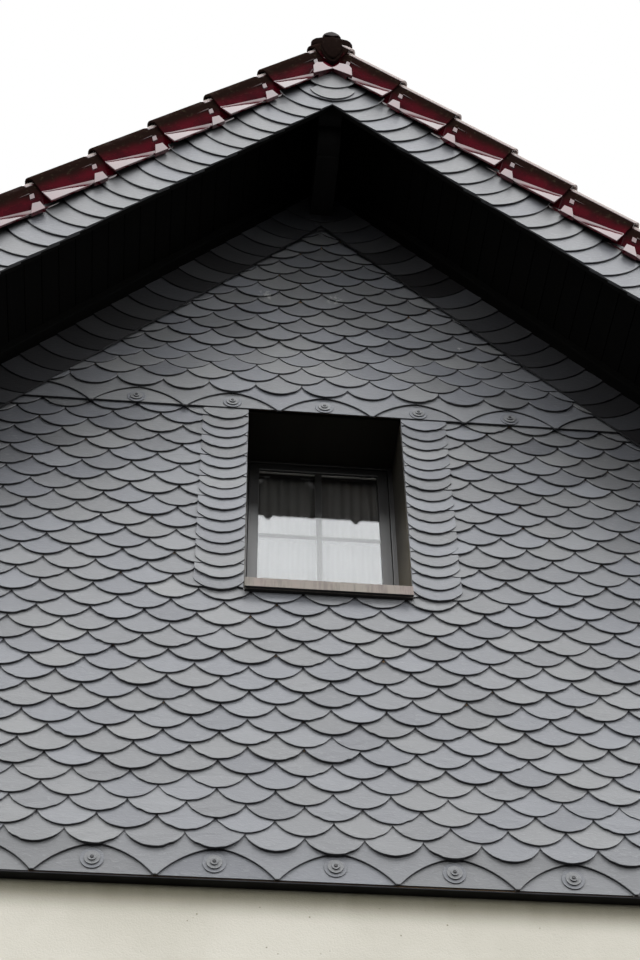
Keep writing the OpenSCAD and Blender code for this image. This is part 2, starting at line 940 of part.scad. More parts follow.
place() front_wall_below();
left() front_wall_side();  // front_wall_left
place() front_wall_side();  // front_wall_right
place() front_wall_gable();
left() cheek_wall();  // cheek_wall_left
place() cheek_wall();  // cheek_wall_right
place() front_boarding();
left() cheek_boarding();  // cheek_boarding_left
place() cheek_boarding();  // cheek_boarding_right
place() front_slates();
left() cheek_slates();  // cheek_slates_left
place() cheek_slates();  // cheek_slates_right
place() bow_slates();
place() drip_edge();
place() window_sill();
place() head_lining();
left() jamb_lining();  // jamb_lining_left
place() jamb_lining();  // jamb_lining_right
place() window_frame();
place() window_sash();
place() window_glass();
place() net_curtain();
place() curtain_rod();
place() ridge_purlin();
left() wall_plate();  // wall_plate_left
place() wall_plate();  // wall_plate_right
left() rafters();  // rafters_left
place() rafters();  // rafters_right
place() collar_ties();
left() roof_boarding();  // roof_boarding_left
place() roof_boarding();  // roof_boarding_right
place() roof_battens();
left() soffit();  // soffit_left
place() soffit();  // soffit_right
left() bargeboard();  // bargeboard_left
place() bargeboard();  // bargeboard_right
place() barge_slates();
left() fascia();  // fascia_left
place() fascia();  // fascia_right
left() roof_tiles();  // roof_tiles_left
place() roof_tiles();  // roof_tiles_right
left() verge_tiles();  // verge_tiles_left
place() verge_tiles();  // verge_tiles_right
place() ridge_tiles();
place() ridge_end_cap();
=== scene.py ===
"""Looks of a slate-hung gabled dormer window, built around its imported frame.

All sizes are in metres. Pieces are modelled in facade coordinates: X to the right, Y into the
building from the face of the slates, Z up from the foot of the wall. Piece.finish moves them into
the row frame.
"""
import logging
import math
import random
from collections.abc import Callable, Iterator, Sequence
from contextlib import contextmanager
from dataclasses import dataclass, field
from enum import Enum
from functools import partialmethod
from typing import Any

import bmesh
import bpy
from mathutils import Matrix, Vector


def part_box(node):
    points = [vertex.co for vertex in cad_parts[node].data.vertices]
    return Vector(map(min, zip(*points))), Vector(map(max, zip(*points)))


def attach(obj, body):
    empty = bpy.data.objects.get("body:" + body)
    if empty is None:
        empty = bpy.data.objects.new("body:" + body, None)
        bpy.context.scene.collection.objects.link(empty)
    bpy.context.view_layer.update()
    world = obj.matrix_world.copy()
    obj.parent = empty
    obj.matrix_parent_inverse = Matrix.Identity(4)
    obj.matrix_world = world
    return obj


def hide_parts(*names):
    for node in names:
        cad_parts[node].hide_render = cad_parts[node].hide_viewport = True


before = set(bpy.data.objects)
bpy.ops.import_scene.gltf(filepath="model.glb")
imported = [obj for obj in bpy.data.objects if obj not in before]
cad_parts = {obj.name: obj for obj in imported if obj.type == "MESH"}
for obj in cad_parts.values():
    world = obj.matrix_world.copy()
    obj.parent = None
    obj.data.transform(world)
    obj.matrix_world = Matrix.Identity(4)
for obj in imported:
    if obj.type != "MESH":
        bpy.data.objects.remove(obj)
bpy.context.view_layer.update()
LOG = logging.getLogger("dormer")
SIDES = ((-1, "left"), (1, "right"))
UNIT = Matrix.Identity(4)
MIRROR = Matrix.Scale(-1, 4, (1, 0, 0))

Point = tuple[float, float, float]
Colour = tuple[float, float, float]


def paint(red: int, green: int, blue: int) -> Colour:
    """Turn a colour written as 0 to 255 screen values into the linear values that a shader takes.

    Args:
        red: Red on screen.
        green: Green on screen.
        blue: Blue on screen.

    Returns:
        The three linear values.
    """
    def linear(value: int) -> float:
        """Return one channel's linear value."""
        part = value / 255
        return part / 12.92 if part <= 0.04045 else ((part + 0.055) / 1.055) ** 2.4

    return linear(red), linear(green), linear(blue)


def pair(stem: str) -> list[str]:
    """Return the names of a left and a right node."""
    return [f"{stem}_{name}" for _, name in SIDES]


# ---------------------------------------------------------------- shader graphs


class Signal:
    """One output of a shader node, on which Python's operators add Math nodes."""

    def __init__(self, graph: "Graph", socket: bpy.types.NodeSocket) -> None:
        """Keep the socket and the graph it belongs to."""
        self.graph = graph
        self.socket = socket

    def compute(self, operation: str, other: Any = None, swapped: bool = False) -> "Signal":
        """Add a Math node.

        Args:
            operation: What the node does.
            other: Its second input, where it takes two.
            swapped: Whether the two inputs change places.

        Returns:
            The node's result.
        """
        values = (other, self) if swapped else (self, other)
        inputs = {number: value for number, value in enumerate(values) if value is not None}
        return self.graph.node("Math", {"operation": operation}, inputs)

    __add__ = partialmethod(compute, "ADD")
    __radd__ = partialmethod(compute, "ADD", swapped=True)
    __sub__ = partialmethod(compute, "SUBTRACT")
    __rsub__ = partialmethod(compute, "SUBTRACT", swapped=True)
    __mul__ = partialmethod(compute, "MULTIPLY")

    def between(self, low: float, high: float) -> "Signal":
        """Return a smooth step, 0 where the signal is low and 1 where it is high."""
        inputs = {"Value": self, "From Min": low, "From Max": high}
        return self.graph.node("MapRange", {"interpolation_type": "SMOOTHSTEP"}, inputs)


class Graph:
    """The node graph of a material or of the world."""

    def __init__(self, owner: bpy.types.Material | bpy.types.World) -> None:
        """Start an empty graph.

        Args:
            owner: What the graph belongs to.
        """
        owner.use_nodes = True
        self.owner = owner
        self.tree = owner.node_tree
        self.tree.nodes.clear()

    @classmethod
    def of_material(cls, name: str) -> "Graph":
        """Return the empty graph of a new material."""
        return cls(bpy.data.materials.new(name))

    def node(self, kind: str, settings: dict[str, Any] | None = None,
             inputs: dict[Any, Any] | None = None, output: int | str = 0) -> Signal:
        """Add one node.

        Args:
            kind: The node's type, without the word that all types begin with.
            settings: Its own settings, set first.
            inputs: Values or signals for its sockets, by name or number.
            output: The socket that is returned.

        Returns:
            The signal of that output.
        """
        made = self.tree.nodes.new("ShaderNode" + kind)
        for name, value in (settings or {}).items():
            setattr(made, name, value)
        for name, value in (inputs or {}).items():
            socket = made.inputs[name]
            if isinstance(value, Signal):
                self.tree.links.new(value.socket, socket)
            else:
                socket.default_value = (*value, 1.0) if socket.type == "RGBA" else value
        return Signal(self, made.outputs[output])

    def ramp(self, factor: Signal, stops: Sequence[tuple[float, float]]) -> Signal:
        """Return the greys of a ramp, slightly bluish.

        Args:
            factor: The place on the ramp.
            stops: Places and levels, in order.

        Returns:
            The ramp's colour.
        """
        colour = self.node("ValToRGB", {}, {0: factor})
        elements = colour.socket.node.color_ramp.elements
        while len(elements) < len(stops):
            elements.new(1.0)
        for element, (place, level) in zip(elements, stops):
            element.position = place
            element.color = (level * 0.99, level, level * 1.01, 1.0)
        return colour

    def place(self) -> Signal:
        """Return the point on the piece, in metres."""
        return self.node("TexCoord", output="Object")

    def attribute(self, name: str) -> Signal:
        """Return a number that the mesh carries under that name."""
        return self.node("Attribute", {"attribute_name": name}, output="Fac")

    def axis(self, where: Signal, letter: str) -> Signal:
        """Return one coordinate of a point."""
        return self.node("SeparateXYZ", {}, {"Vector": where}, letter)

    def underside(self, low: float, high: float) -> Signal:
        """Return where faces look down, from 0 at the first upward share to 1 at the second."""
        return self.axis(self.node("NewGeometry", output="Normal"), "Z").between(low, high)

    def stretched(self, where: Signal, scale: Point) -> Signal:
        """Return a point that is scaled, so that a pattern on it stretches."""
        return self.node("Mapping", {}, {"Vector": where, "Scale": scale})

    def scattered(self, where: Signal, key: Signal, reach: float = 17.0) -> Signal:
        """Return a point that is shifted by a key, so that each copy has its own pattern.

        Args:
            where: The point.
            key: A number that differs from copy to copy.
            reach: How far the key shifts the point.

        Returns:
            The shifted point.
        """
        steps = {0: key * reach, 1: key * 3.1 * reach, 2: key * 5.7 * reach}
        shift = self.node("CombineXYZ", {}, steps)
        return self.node("VectorMath", {"operation": "ADD"}, {0: where, 1: shift})

    def noise(self, where: Signal, scale: float, detail: float = 3.0, roughness: float = 0.55,
              distortion: float = 0.0) -> Signal:
        """Return soft noise from 0 to 1.

        Args:
            where: The point.
            scale: How many waves fit in a metre.
            detail: How many finer waves are added.
            roughness: How strong these are.
            distortion: How far the waves are bent.

        Returns:
            The noise.
        """
        return self.node("TexNoise", {"noise_dimensions": "3D"}, {
            "Vector": where, "Scale": scale, "Detail": detail, "Roughness": roughness,
            "Distortion": distortion})

    def mix(self, factor: Any, first: Any, second: Any, blend: str = "MIX") -> Signal:
        """Return a mix of two colours.

        Args:
            factor: The second colour's share.
            first: The first colour.
            second: The second colour.
            blend: How the second is laid over the first.

        Returns:
            The mixed colour.
        """
        settings = {"data_type": "RGBA", "blend_type": blend, "clamp_factor": True}
        return self.node("Mix", settings, {0: factor, 6: first, 7: second}, 2)

    def bump(self, height: Signal, distance: float, strength: float = 1.0) -> Signal:
        """Return the normal of a surface with that height, where 1 is distance metres."""
        inputs = {"Height": height, "Distance": distance, "Strength": strength}
        return self.node("Bump", {}, inputs, "Normal")

    def close(self, shader: Signal, kind: str = "OutputMaterial") -> None:
        """Link a shader to the graph's output node."""
        out = self.tree.nodes.new("ShaderNode" + kind)
        self.tree.links.new(shader.socket, out.inputs["Surface"])

    def surface(self, inputs: dict[str, Any]) -> bpy.types.Material:
        """Close the graph with one surface shader and return its material."""
        self.close(self.node("BsdfPrincipled", {}, inputs))
        return self.owner


# ---------------------------------------------------------------- finishes


@dataclass(frozen=True)
class SlateFinish:
    """Riven slate: cold greys that differ from slate to slate, fine clefts, pale smudges, and
    painted light and shade.
    """

    name: str = "riven_slate"
    dark: Colour = paint(89, 90, 94)
    light: Colour = paint(117, 118, 121)
    bloom: Colour = paint(134, 135, 136)
    # dark colour of the painted shade, and of the nail's own dark
    shade_and_dark_tone: Colour = paint(26, 25, 26)
    smudge: Colour = paint(190, 190, 188)
    cool: Colour = (0.96, 0.975, 1.0)
    warm: Colour = (1.0, 0.995, 0.95)
    lift: Colour = (1.28, 1.28, 1.28)  # painted light: how much paler the slates are painted high up
    painted_shade_h: float = 0.0  # height over the soffit at which a painted shadow under the verge tiles begins, 0 for none
    painted_shade_fade: float = 0.034
    smudges: tuple[tuple[Point, float], ...] = (  # middle and reach
        ((-0.262, -0.767, 3.602), 0.050), ((0.055, -0.767, 3.603), 0.046),
        ((-0.02, -0.767, 4.160), 0.028), ((0.62, -0.767, 3.30), 0.02))

    def material(self) -> bpy.types.Material:
        """Return the material."""
        g = Graph.of_material(self.name)
        tone, place = g.attribute("tone"), g.place()
        here = g.scattered(place, tone)
        cloud = g.noise(here, 7.0)
        cleft = g.noise(g.stretched(here, (1.0, 1.0, 2.6)), 38.0, 5.0, 0.62, 0.6)
        grain = g.noise(here, 240.0, 2.0)
        base = g.mix(tone * 0.9 + cloud * 0.35 - 0.15, self.dark, self.light)
        aside, height = g.axis(place, "X").compute("ABSOLUTE"), g.axis(place, "Z")
        over = aside * math.sin(FACADE.pitch) + (height - FACADE.apex_z) * math.cos(FACADE.pitch)
        # Slates but the barge's: painted light, paler high up, and painted shade in the corners
        # under the rakes.
        if not self.painted_shade_h:
            base = g.mix(height.between(0.6, 3.0), base, self.lift, "MULTIPLY")
            shade = over.between(-0.75, -0.15) * aside.between(0.3, 1.2)
            base = g.mix(shade * 0.5, base, self.shade_and_dark_tone)
        hue = g.noise(g.scattered(g.stretched(place, (0.0, 0.0, 0.0)), tone, 91.0), 1.0, 0.0)
        tint = g.mix(hue.between(0.35, 0.65), self.cool, self.warm)
        base = g.mix(0.9, base, tint, "MULTIPLY")
        base = g.mix(cleft.between(0.54, 0.76) * 0.4, base, self.bloom)
        base = g.mix(grain.between(0.62, 0.8) * 0.3, base, self.dark)
        # Negative tones darken: the nail's own dark, and painted shade on the rakes' strips under
        # the soffits.
        base = g.mix(tone * -1.0, base, self.shade_and_dark_tone)
        # Painted shade on faces that look down.
        base = g.mix(g.underside(-0.35, -0.8) * 0.94, base, self.shade_and_dark_tone)
        # Barge slates: a painted shadow under the verge tiles.
        if self.painted_shade_h:
            dirt_and_shade = over.between(self.painted_shade_h, self.painted_shade_h + self.painted_shade_fade)
            base = g.mix(dirt_and_shade * 0.96, base, self.shade_and_dark_tone)
        for point, reach in self.smudges:
            ends = {0: place, 1: point}
            away = g.node("VectorMath", {"operation": "DISTANCE"}, ends, "Value")
            patch = away.between(reach, reach * 0.3) * g.noise(place, 55.0).between(0.47, 0.62)
            base = g.mix(patch * 0.75, base, self.smudge)
        return g.surface({
            "Base Color": base,
            "Roughness": cleft * 0.14 + tone * 0.06 + 0.33,
            "Normal": g.bump(cleft * 0.75 + grain * 0.12 + cloud * 0.4, 0.0017, 0.9),
            "Specular IOR Level": 0.62,
        })


@dataclass(frozen=True)
class RenderFinish:
    """Cream stippled render, darker under the drip edge from grime that rain carried down and from
    painted shade.
    """

    name: str = "cream_render"
    body: Colour = paint(188, 184, 173)
    shade: Colour = paint(174, 170, 158)
    dirt_and_shade: Colour = paint(108, 104, 84)
    drip_z: float = 0.446
    dirt_and_shade_drop: float = 0.125

    def material(self) -> bpy.types.Material:
        """Return the material."""
        g = Graph.of_material(self.name)
        here = g.place()
        height = g.axis(here, "Z")
        stipple = g.noise(here, 210.0, 3.0, 0.6)
        lumps = g.noise(here, 52.0, 3.0, 0.6)
        base = g.mix(g.noise(here, 2.2).between(0.35, 0.7) * 0.7, self.body, self.shade)
        base = g.mix(stipple.between(0.58, 0.8) * 0.5, base, self.shade)
        runs = g.noise(g.stretched(here, (1.0, 1.0, 0.1)), 14.0)
        # Under the drip edge: grime, and painted shade from the drip edge's overhang.
        under = height.compute("LESS_THAN", self.drip_z)
        washed_and_shaded = height.between(self.drip_z - self.dirt_and_shade_drop, self.drip_z - 0.01) * under
        splash = height.between(0.16, 0.0) * 0.2
        base = g.mix(washed_and_shaded * (0.78 + runs * 0.22) + splash * runs, base, self.dirt_and_shade)
        specks = g.node("TexVoronoi", {}, {"Vector": here, "Scale": 30.0}, "Distance")
        specks = specks.between(0.12, 0.05) * g.noise(here, 9.0).between(0.52, 0.6)
        base = g.mix(specks * 0.8, base, self.dirt_and_shade)
        return g.surface({
            "Base Color": base,
            "Roughness": 0.92 - stipple * 0.08,
            "Normal": g.bump(stipple * 0.8 + lumps * 0.5, 0.0020, 0.8),
        })


@dataclass(frozen=True)
class PaintFinish:
    """Painted or stained wood with the grain still showing, and painted shade above a set height.
    """

    name: str
    body: Colour
    worn: Colour
    along: Point = (0.03, 1.0, 1.0)  # the grain's run has the smallest number
    roughness: float = 0.5
    grain: float = 0.5
    gloss: float = 0.5
    painted_shade_z: float = 0.0  # height about which painted shade sets in, 0 for none
    shade_and_dark_tone: Colour = paint(12, 11, 9)

    def material(self) -> bpy.types.Material:
        """Return the material."""
        g = Graph.of_material(self.name)
        place, tone = g.place(), g.attribute("tone")
        here = g.scattered(place, tone, 2.3)
        run = g.stretched(here, self.along)
        fibre = g.noise(run, 90.0, 4.0, 0.6, 0.4)
        streak = g.noise(run, 22.0, 3.0, 0.5, 0.8)
        worn = streak.between(0.35, 0.75) * self.grain + tone * 0.25
        base = g.mix(worn, self.body, self.worn)
        base = g.mix(g.noise(here, 3.1).between(0.45, 0.75) * 0.35, base, self.worn)
        # Painted shade towards the top, under the roof's overhang.
        if self.painted_shade_z:
            high = g.axis(place, "Z").between(self.painted_shade_z - 0.3, self.painted_shade_z + 0.3)
            base = g.mix(high * 0.85, base, self.shade_and_dark_tone)
        return g.surface({
            "Base Color": base,
            "Roughness": self.roughness + fibre * 0.2 - 0.08,
            "Normal": g.bump(fibre * 0.6 + streak * 0.4, 0.0007, 0.7),
            "Specular IOR Level": self.gloss,
        })


@dataclass(frozen=True)
class GlazeFinish:
    """Glazed clay, red under a clear gloss, weathered dark where the mesh's age number is 1, with a
    pale painted highlight where it is -1.
    """

    name: str
    body: Colour = paint(76, 8, 21)
    deep: Colour = paint(50, 6, 14)
    weathered: Colour = paint(30, 20, 17)
    lichen: Colour = paint(62, 56, 44)
    # pale colour of a painted highlight
    painted_highlight: Colour = paint(158, 148, 144)

    def material(self) -> bpy.types.Material:
        """Return the material."""
        g = Graph.of_material(self.name)
        age_and_highlight = g.attribute("age_and_highlight")
        here = g.scattered(g.place(), g.attribute("tone"), 3.0)
        cloud = g.noise(here, 9.0, 4.0)
        spots = g.noise(here, 55.0, 4.0, 0.65)
        old = (age_and_highlight * (0.75 + cloud * 0.5)).between(0.0, 1.0)
        # Negative numbers: a painted highlight, pale and matt.
        pale = (age_and_highlight * -1.0).between(0.0, 1.0)
        crust = g.mix(spots.between(0.56, 0.7) * 0.6, self.weathered, self.lichen)
        base = g.mix(old, g.mix(cloud.between(0.3, 0.75), self.body, self.deep), crust)
        return g.surface({
            "Base Color": g.mix(pale, base, self.painted_highlight),
            "Roughness": 0.15 + (old + pale) * 0.55 + spots * 0.06,
            "Coat Weight": (1 - old) * (1 - pale),
            "Coat Roughness": 0.05,
            "Coat IOR": 1.6,
            "Specular IOR Level": 0.0,
            "Normal": g.bump(spots * 0.35 + cloud, 0.0006, 0.3),
        })


@dataclass(frozen=True)
class GlassFinish:
    """Window glass that mirrors part of the sky and lets the rest through."""

    name: str = "pane"
    mirror: float = 0.075

    def material(self) -> bpy.types.Material:
        """Return the material."""
        g = Graph.of_material(self.name)
        wave = g.noise(g.place(), 3.0, 1.0)
        return g.surface({
            "Base Color": g.mix(wave, (0.93, 0.95, 0.96), (0.98, 0.99, 1.0)),
            "Metallic": 1.0,
            "Roughness": 0.02 + wave * 0.015,
            "Alpha": wave * 0.006 + (self.mirror - 0.003),
            "Normal": g.bump(wave, 0.0015, 0.35),
        })


@dataclass(frozen=True)
class NetFinish:
    """Net curtain with a fine weave on its own UV map."""

    name: str = "net_cloth"
    thread: Colour = paint(80, 79, 76)
    fold: Colour = paint(66, 65, 63)
    pitch: float = 2600.0  # threads' phase in a metre

    def material(self) -> bpy.types.Material:
        """Return the material."""
        g = Graph.of_material(self.name)
        cloth = g.node("TexCoord", output="UV")
        across, down = ((g.axis(cloth, letter) * self.pitch).compute("SINE") for letter in "XY")
        weave = (across + 1.0) * 0.25 + (down + 1.0) * 0.25
        return g.surface({
            "Base Color": g.mix(g.noise(g.place(), 14.0, 2.0), self.thread, self.fold),
            "Roughness": 0.85 + weave * 0.1,
            "Alpha": 0.96 + weave * 0.04,
            "Normal": g.bump(weave, 0.0003, 0.4),
        })


@dataclass(frozen=True)
class StoneFinish:
    """Pinkish grey sill with streaks that rain has left running down its front, and painted shade
    on its underside.
    """

    name: str = "washed_stone"
    body: Colour = paint(130, 122, 116)
    dark: Colour = paint(84, 76, 71)
    speck: Colour = paint(160, 152, 147)
    shade_and_dark_tone: Colour = paint(22, 20, 19)
    green: Colour = (0.95, 0.97, 0.90)
    pink: Colour = (1.0, 0.91, 0.90)

    def material(self) -> bpy.types.Material:
        """Return the material."""
        g = Graph.of_material(self.name)
        here = g.place()
        streak = g.noise(g.stretched(here, (1.0, 0.3, 0.1)), 60.0, 4.0, 0.6)
        grit = g.noise(here, 330.0, 2.0)
        base = g.mix(streak.between(0.42, 0.7) * 0.6, self.body, self.dark)
        cast = g.noise(g.stretched(here, (1.0, 0.0, 0.0)), 4.5, 2.0).between(0.42, 0.6)
        base = g.mix(0.8, base, g.mix(cast, self.green, self.pink), "MULTIPLY")
        base = g.mix(grit.between(0.6, 0.8) * 0.4, base, self.speck)
        # The underside gets painted shade.
        return g.surface({
            "Base Color": g.mix(g.underside(-0.5, -0.9) * 0.97, base, self.shade_and_dark_tone),
            "Roughness": 0.7 - streak * 0.15,
            "Normal": g.bump(grit * 0.4 + streak * 0.6, 0.0008, 0.7),
        })


@dataclass(frozen=True)
class MetalFinish:
    """Sheet or rod of dark metal with light scratches and dull patches."""

    name: str
    body: Colour
    roughness: float = 0.4
    metallic: float = 0.8

    def material(self) -> bpy.types.Material:
        """Return the material."""
        g = Graph.of_material(self.name)
        here = g.place()
        dull = g.noise(here, 12.0, 4.0)
        scratch = g.noise(g.stretched(here, (0.08, 1.0, 1.0)), 180.0)
        bright = tuple(value * 1.6 + 0.01 for value in self.body)
        return g.surface({
            "Base Color": g.mix(dull.between(0.45, 0.75) * 0.5, self.body, bright),
            "Metallic": self.metallic - dull * 0.2,
            "Roughness": dull * 0.2 + scratch * 0.1 + (self.roughness - 0.1),
            "Normal": g.bump(scratch, 0.0002, 0.5),
        })


class Finish(Enum):
    """The finishes of the object's pieces and the material slot that each belongs to."""

    SLATE = (SlateFinish(), "slate")
    # Barge slates with a near-black painted shadow under the verge tiles.
    BARGE_SLATE = (SlateFinish("barge_slate", shade_and_dark_tone=paint(5, 5, 5), painted_shade_h=0.034), "slate")
    RENDER = (RenderFinish(), "render")
    DRIP = (MetalFinish("drip_sheet", paint(24, 24, 27)), "drip_metal")
    SILL = (StoneFinish(), "sill_stone")
    # Lining and window paint: painted shade towards their tops.
    LINING = (PaintFinish("lining_stain", paint(84, 77, 59), paint(64, 57, 44),
                          (1.0, 0.06, 0.06), 0.5, 0.6, 0.3, painted_shade_z=2.2), "lining_wood")
    WINDOW = (PaintFinish("window_coat", paint(66, 64, 63), paint(84, 82, 80),
                          (1.0, 1.0, 0.05), 0.34, 0.4, 0.85, painted_shade_z=2.35), "window_paint")
    GLASS = (GlassFinish(), "glass")
    NET = (NetFinish(), "net")
    ROD = (MetalFinish("rod_metal", paint(50, 48, 45), 0.6, 0.4), "rod")
    DARK_WOOD = (PaintFinish("dark_paint", paint(20, 19, 18), paint(28, 26, 25),
                             (1.0, 0.05, 0.6), 0.6, 0.5, 0.2), "painted_wood")
    SOFFIT = (PaintFinish("soffit_paint", paint(8, 8, 7), paint(12, 11, 10),
                          (1.0, 0.05, 0.6), 0.7, 0.5, 0.05), "painted_wood")
    RAW_WOOD = (PaintFinish("bare_wood", paint(188, 152, 108), paint(160, 122, 80),
                            (1.0, 0.04, 1.0), 0.7, 0.8), "raw_wood")
    TILE = (GlazeFinish("glazed_tile"), "roof_tile")
    RIDGE = (GlazeFinish("glazed_ridge", paint(50, 18, 20), paint(34, 15, 15),
                         paint(22, 15, 13), paint(42, 32, 27)), "ridge_tile")
    BEAD = (PaintFinish("bead_paint", paint(168, 166, 160), paint(140, 138, 132),
                        (0.05, 1.0, 1.0), 0.4, 0.4), "window_paint")

    def material(self) -> bpy.types.Material:
        """Return this finish's material, made once."""
        maker, _ = self.value
        return bpy.data.materials.get(maker.name) or maker.material()

    @property
    def slot(self) -> str:
        """Return the name of the material slot that the finish belongs to."""
        return self.value[1]


# ---------------------------------------------------------------- modelling


@dataclass(frozen=True)
class Facade:
    """The lines of the building that the pieces follow, in facade coordinates."""

    half_w: float = 1.550
    depth: float = 2.200
    slate_t: float = 0.012
    foot_z: float = 0.450
    soffit_z: float = 2.840
    head_z: float = 2.787
    sill_under: float = 1.735
    open_half: float = 0.325
    pitch: float = math.radians(47.2)
    origin_y: float = 0.012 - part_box("cheek_slates_left")[0].y

    @property
    def apex_z(self) -> float:
        """Return the height at which the two soffit planes meet."""
        return self.soffit_z + self.half_w * math.tan(self.pitch)

    def meeting_z(self, over: float) -> float:
        """Return the height at which the two planes that far over the soffits meet."""
        return self.apex_z + over / math.cos(self.pitch)

    def across(self, side: int) -> Point:
        """Return the direction straight up from the left (-1) or right (1) slope."""
        return side * math.sin(self.pitch), 0.0, math.cos(self.pitch)

    def on_slope(self, side: int) -> Matrix:
        """Return the place of slope coordinates: X down the slope from the apex, Z across it."""
        place = Matrix.Translation((0, 0, self.apex_z)) @ Matrix.Rotation(self.pitch, 4, "Y")
        return MIRROR @ place if side < 0 else place


FACADE = Facade()


class Elements(Enum):
    """What a pick in edit mode selects."""

    VERTS = "VERT"
    EDGES = "EDGE"


def near(first: float, second: float) -> bool:
    """Tell whether two coordinates are the same."""
    return abs(first - second) < 0.0001


class Piece:
    """A mesh on the bench, shaped with Blender's own tools in facade coordinates."""

    def __init__(self, obj: bpy.types.Object) -> None:
        """Keep the object."""
        self.obj = obj

    @staticmethod
    def _fresh() -> "Piece":
        """Return the primitive that was just added, with its place in its mesh."""
        bpy.ops.object.transform_apply(location=True, rotation=True, scale=True)
        return Piece(bpy.context.object)

    @staticmethod
    def nothing_selected() -> None:
        """Leave every object unselected."""
        for obj in list(bpy.context.selected_objects):
            obj.select_set(False)

    @staticmethod
    def extrude(step: Sequence[float]) -> None:
        """Extrude what is selected in edit mode."""
        bpy.ops.mesh.extrude_region_move(TRANSFORM_OT_translate={"value": step})

    @classmethod
    def block(cls, low: Point, high: Point) -> "Piece":
        """Add a cube between two corners, to be shaped.

        Args:
            low: The corner with the lowest coordinates.
            high: The corner with the highest.

        Returns:
            The piece.
        """
        cls.nothing_selected()
        middle = [(a + b) / 2 for a, b in zip(low, high)]
        size = [b - a for a, b in zip(low, high)]
        bpy.ops.mesh.primitive_cube_add(size=1, location=middle, scale=size)
        return cls._fresh()

    @classmethod
    def disc(cls, centre: Point, radius: float, sides: int, fill: str = "NGON") -> "Piece":
        """Add a circle that faces the front.

        Args:
            centre: Its middle.
            radius: Its radius.
            sides: How many sides it has.
            fill: NGON for a disc, NOTHING for a ring of edges.

        Returns:
            The piece, flat.
        """
        cls.nothing_selected()
        bpy.ops.mesh.primitive_circle_add(vertices=sides, radius=radius, fill_type=fill,
                                          location=centre, rotation=(math.pi / 2, 0, 0))
        return cls._fresh()

    @classmethod
    def outline(cls, points: Sequence[Point], filled: bool = True) -> "Piece":
        """Draw an outline by extruding one vertex from point to point.

        Args:
            points: The corners in order.
            filled: Whether it is closed and filled.

        Returns:
            The piece, flat or a line of edges.
        """
        cls.nothing_selected()
        bpy.ops.mesh.primitive_plane_add(size=0.01, location=points[0])
        piece = cls._fresh()
        with piece.edit(everything=True):
            bpy.ops.mesh.merge(type="CENTER")
            for last, point in zip(points, points[1:]):
                cls.extrude([b - a for a, b in zip(last, point)])
            if filled:
                bpy.ops.mesh.select_all(action="SELECT")
                bpy.ops.mesh.edge_face_add()
        return piece

    @classmethod
    def of_node(cls, node: str) -> "Piece":
        """Copy a CAD node's mesh, with its loose triangles merged into flat faces.

        Args:
            node: The node's name.

        Returns:
            The piece.
        """
        cls.nothing_selected()
        obj = bpy.data.objects.new(node + "_work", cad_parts[node].data.copy())
        obj.data.transform(Matrix.Translation((0, FACADE.origin_y, 0)))
        obj.data.materials.clear()
        bpy.context.scene.collection.objects.link(obj)
        piece = cls(obj)
        with piece.edit(everything=True):
            bpy.ops.mesh.remove_doubles(threshold=0.00002)
            bpy.ops.mesh.dissolve_limited(angle_limit=math.radians(1.0))
        return piece

    def alone(self) -> None:
        """Select this piece and nothing else."""
        self.nothing_selected()
        self.obj.select_set(True)
        bpy.context.view_layer.objects.active = self.obj

    @contextmanager
    def edit(self, everything: bool = False) -> Iterator[None]:
        """Hold this piece alone in edit mode.

        Args:
            everything: Whether all of it is selected, or nothing.

        Yields:
            Nothing. Edit mode ends with the block.
        """
        self.alone()
        bpy.ops.object.mode_set(mode="EDIT")
        bpy.ops.mesh.select_all(action="SELECT" if everything else "DESELECT")
        yield
        bpy.ops.object.mode_set(mode="OBJECT")

    def pick(self, kind: Elements, test: Callable[[Vector], bool],
             longest: float = math.inf) -> bool:
        """Select in edit mode the elements whose corners all pass a test on their place.

        Args:
            kind: Vertices or edges.
            test: Takes a corner's place.
            longest: The length below which an edge has to be.

        Returns:
            Whether anything was selected.
        """
        vertices = kind is Elements.VERTS
        bpy.context.tool_settings.mesh_select_mode = (vertices, not vertices, False)
        mesh = bmesh.from_edit_mesh(self.obj.data)
        mesh.select_mode = {kind.value}
        for item in mesh.verts:
            item.select_set(False)
        if vertices:
            chosen = [item for item in mesh.verts if test(item.co)]
        else:
            chosen = [item for item in mesh.edges
                      if item.calc_length() < longest and all(test(v.co) for v in item.verts)]
        for item in chosen:
            item.select_set(True)
        mesh.select_flush_mode()
        bmesh.update_edit_mesh(self.obj.data)
        return bool(chosen)

    def cut(self, point: Sequence[float], normal: Sequence[float], fill: bool = False) -> "Piece":
        """Cut away everything on the side of a plane that its normal points to.

        Args:
            point: A point on the plane.
            normal: The plane's normal.
            fill: Whether the cut is closed.

        Returns:
            The piece.
        """
        with self.edit(everything=True):
            bpy.ops.mesh.bisect(plane_co=point, plane_no=normal, use_fill=fill, clear_outer=True,
                                threshold=0.00001)
        return self

    def trim(self, x: float, side: int) -> "Piece":
        """Cut away what lies past X = x, to the left (-1) or to the right (1)."""
        return self.cut((x, 0, 0), (side, 0, 0), True)

    def below(self, height: float) -> "Piece":
        """Cut away what lies above a height."""
        return self.cut((0, 0, height), (0, 0, 1), True)

    def under_roof(self, over: float) -> "Piece":
        """Cut away what lies past the walls' faces or above two planes along the roof.

        Args:
            over: How far the planes lie over the soffits.

        Returns:
            The piece.
        """
        for side, _ in SIDES:
            self.trim(side * FACADE.half_w, side)
            self.cut((0, 0, FACADE.meeting_z(over)), FACADE.across(side), True)
        return self

    def face_out(self) -> "Piece":
        """Turn all faces outward."""
        with self.edit(everything=True):
            bpy.ops.mesh.normals_make_consistent(inside=False)
        return self

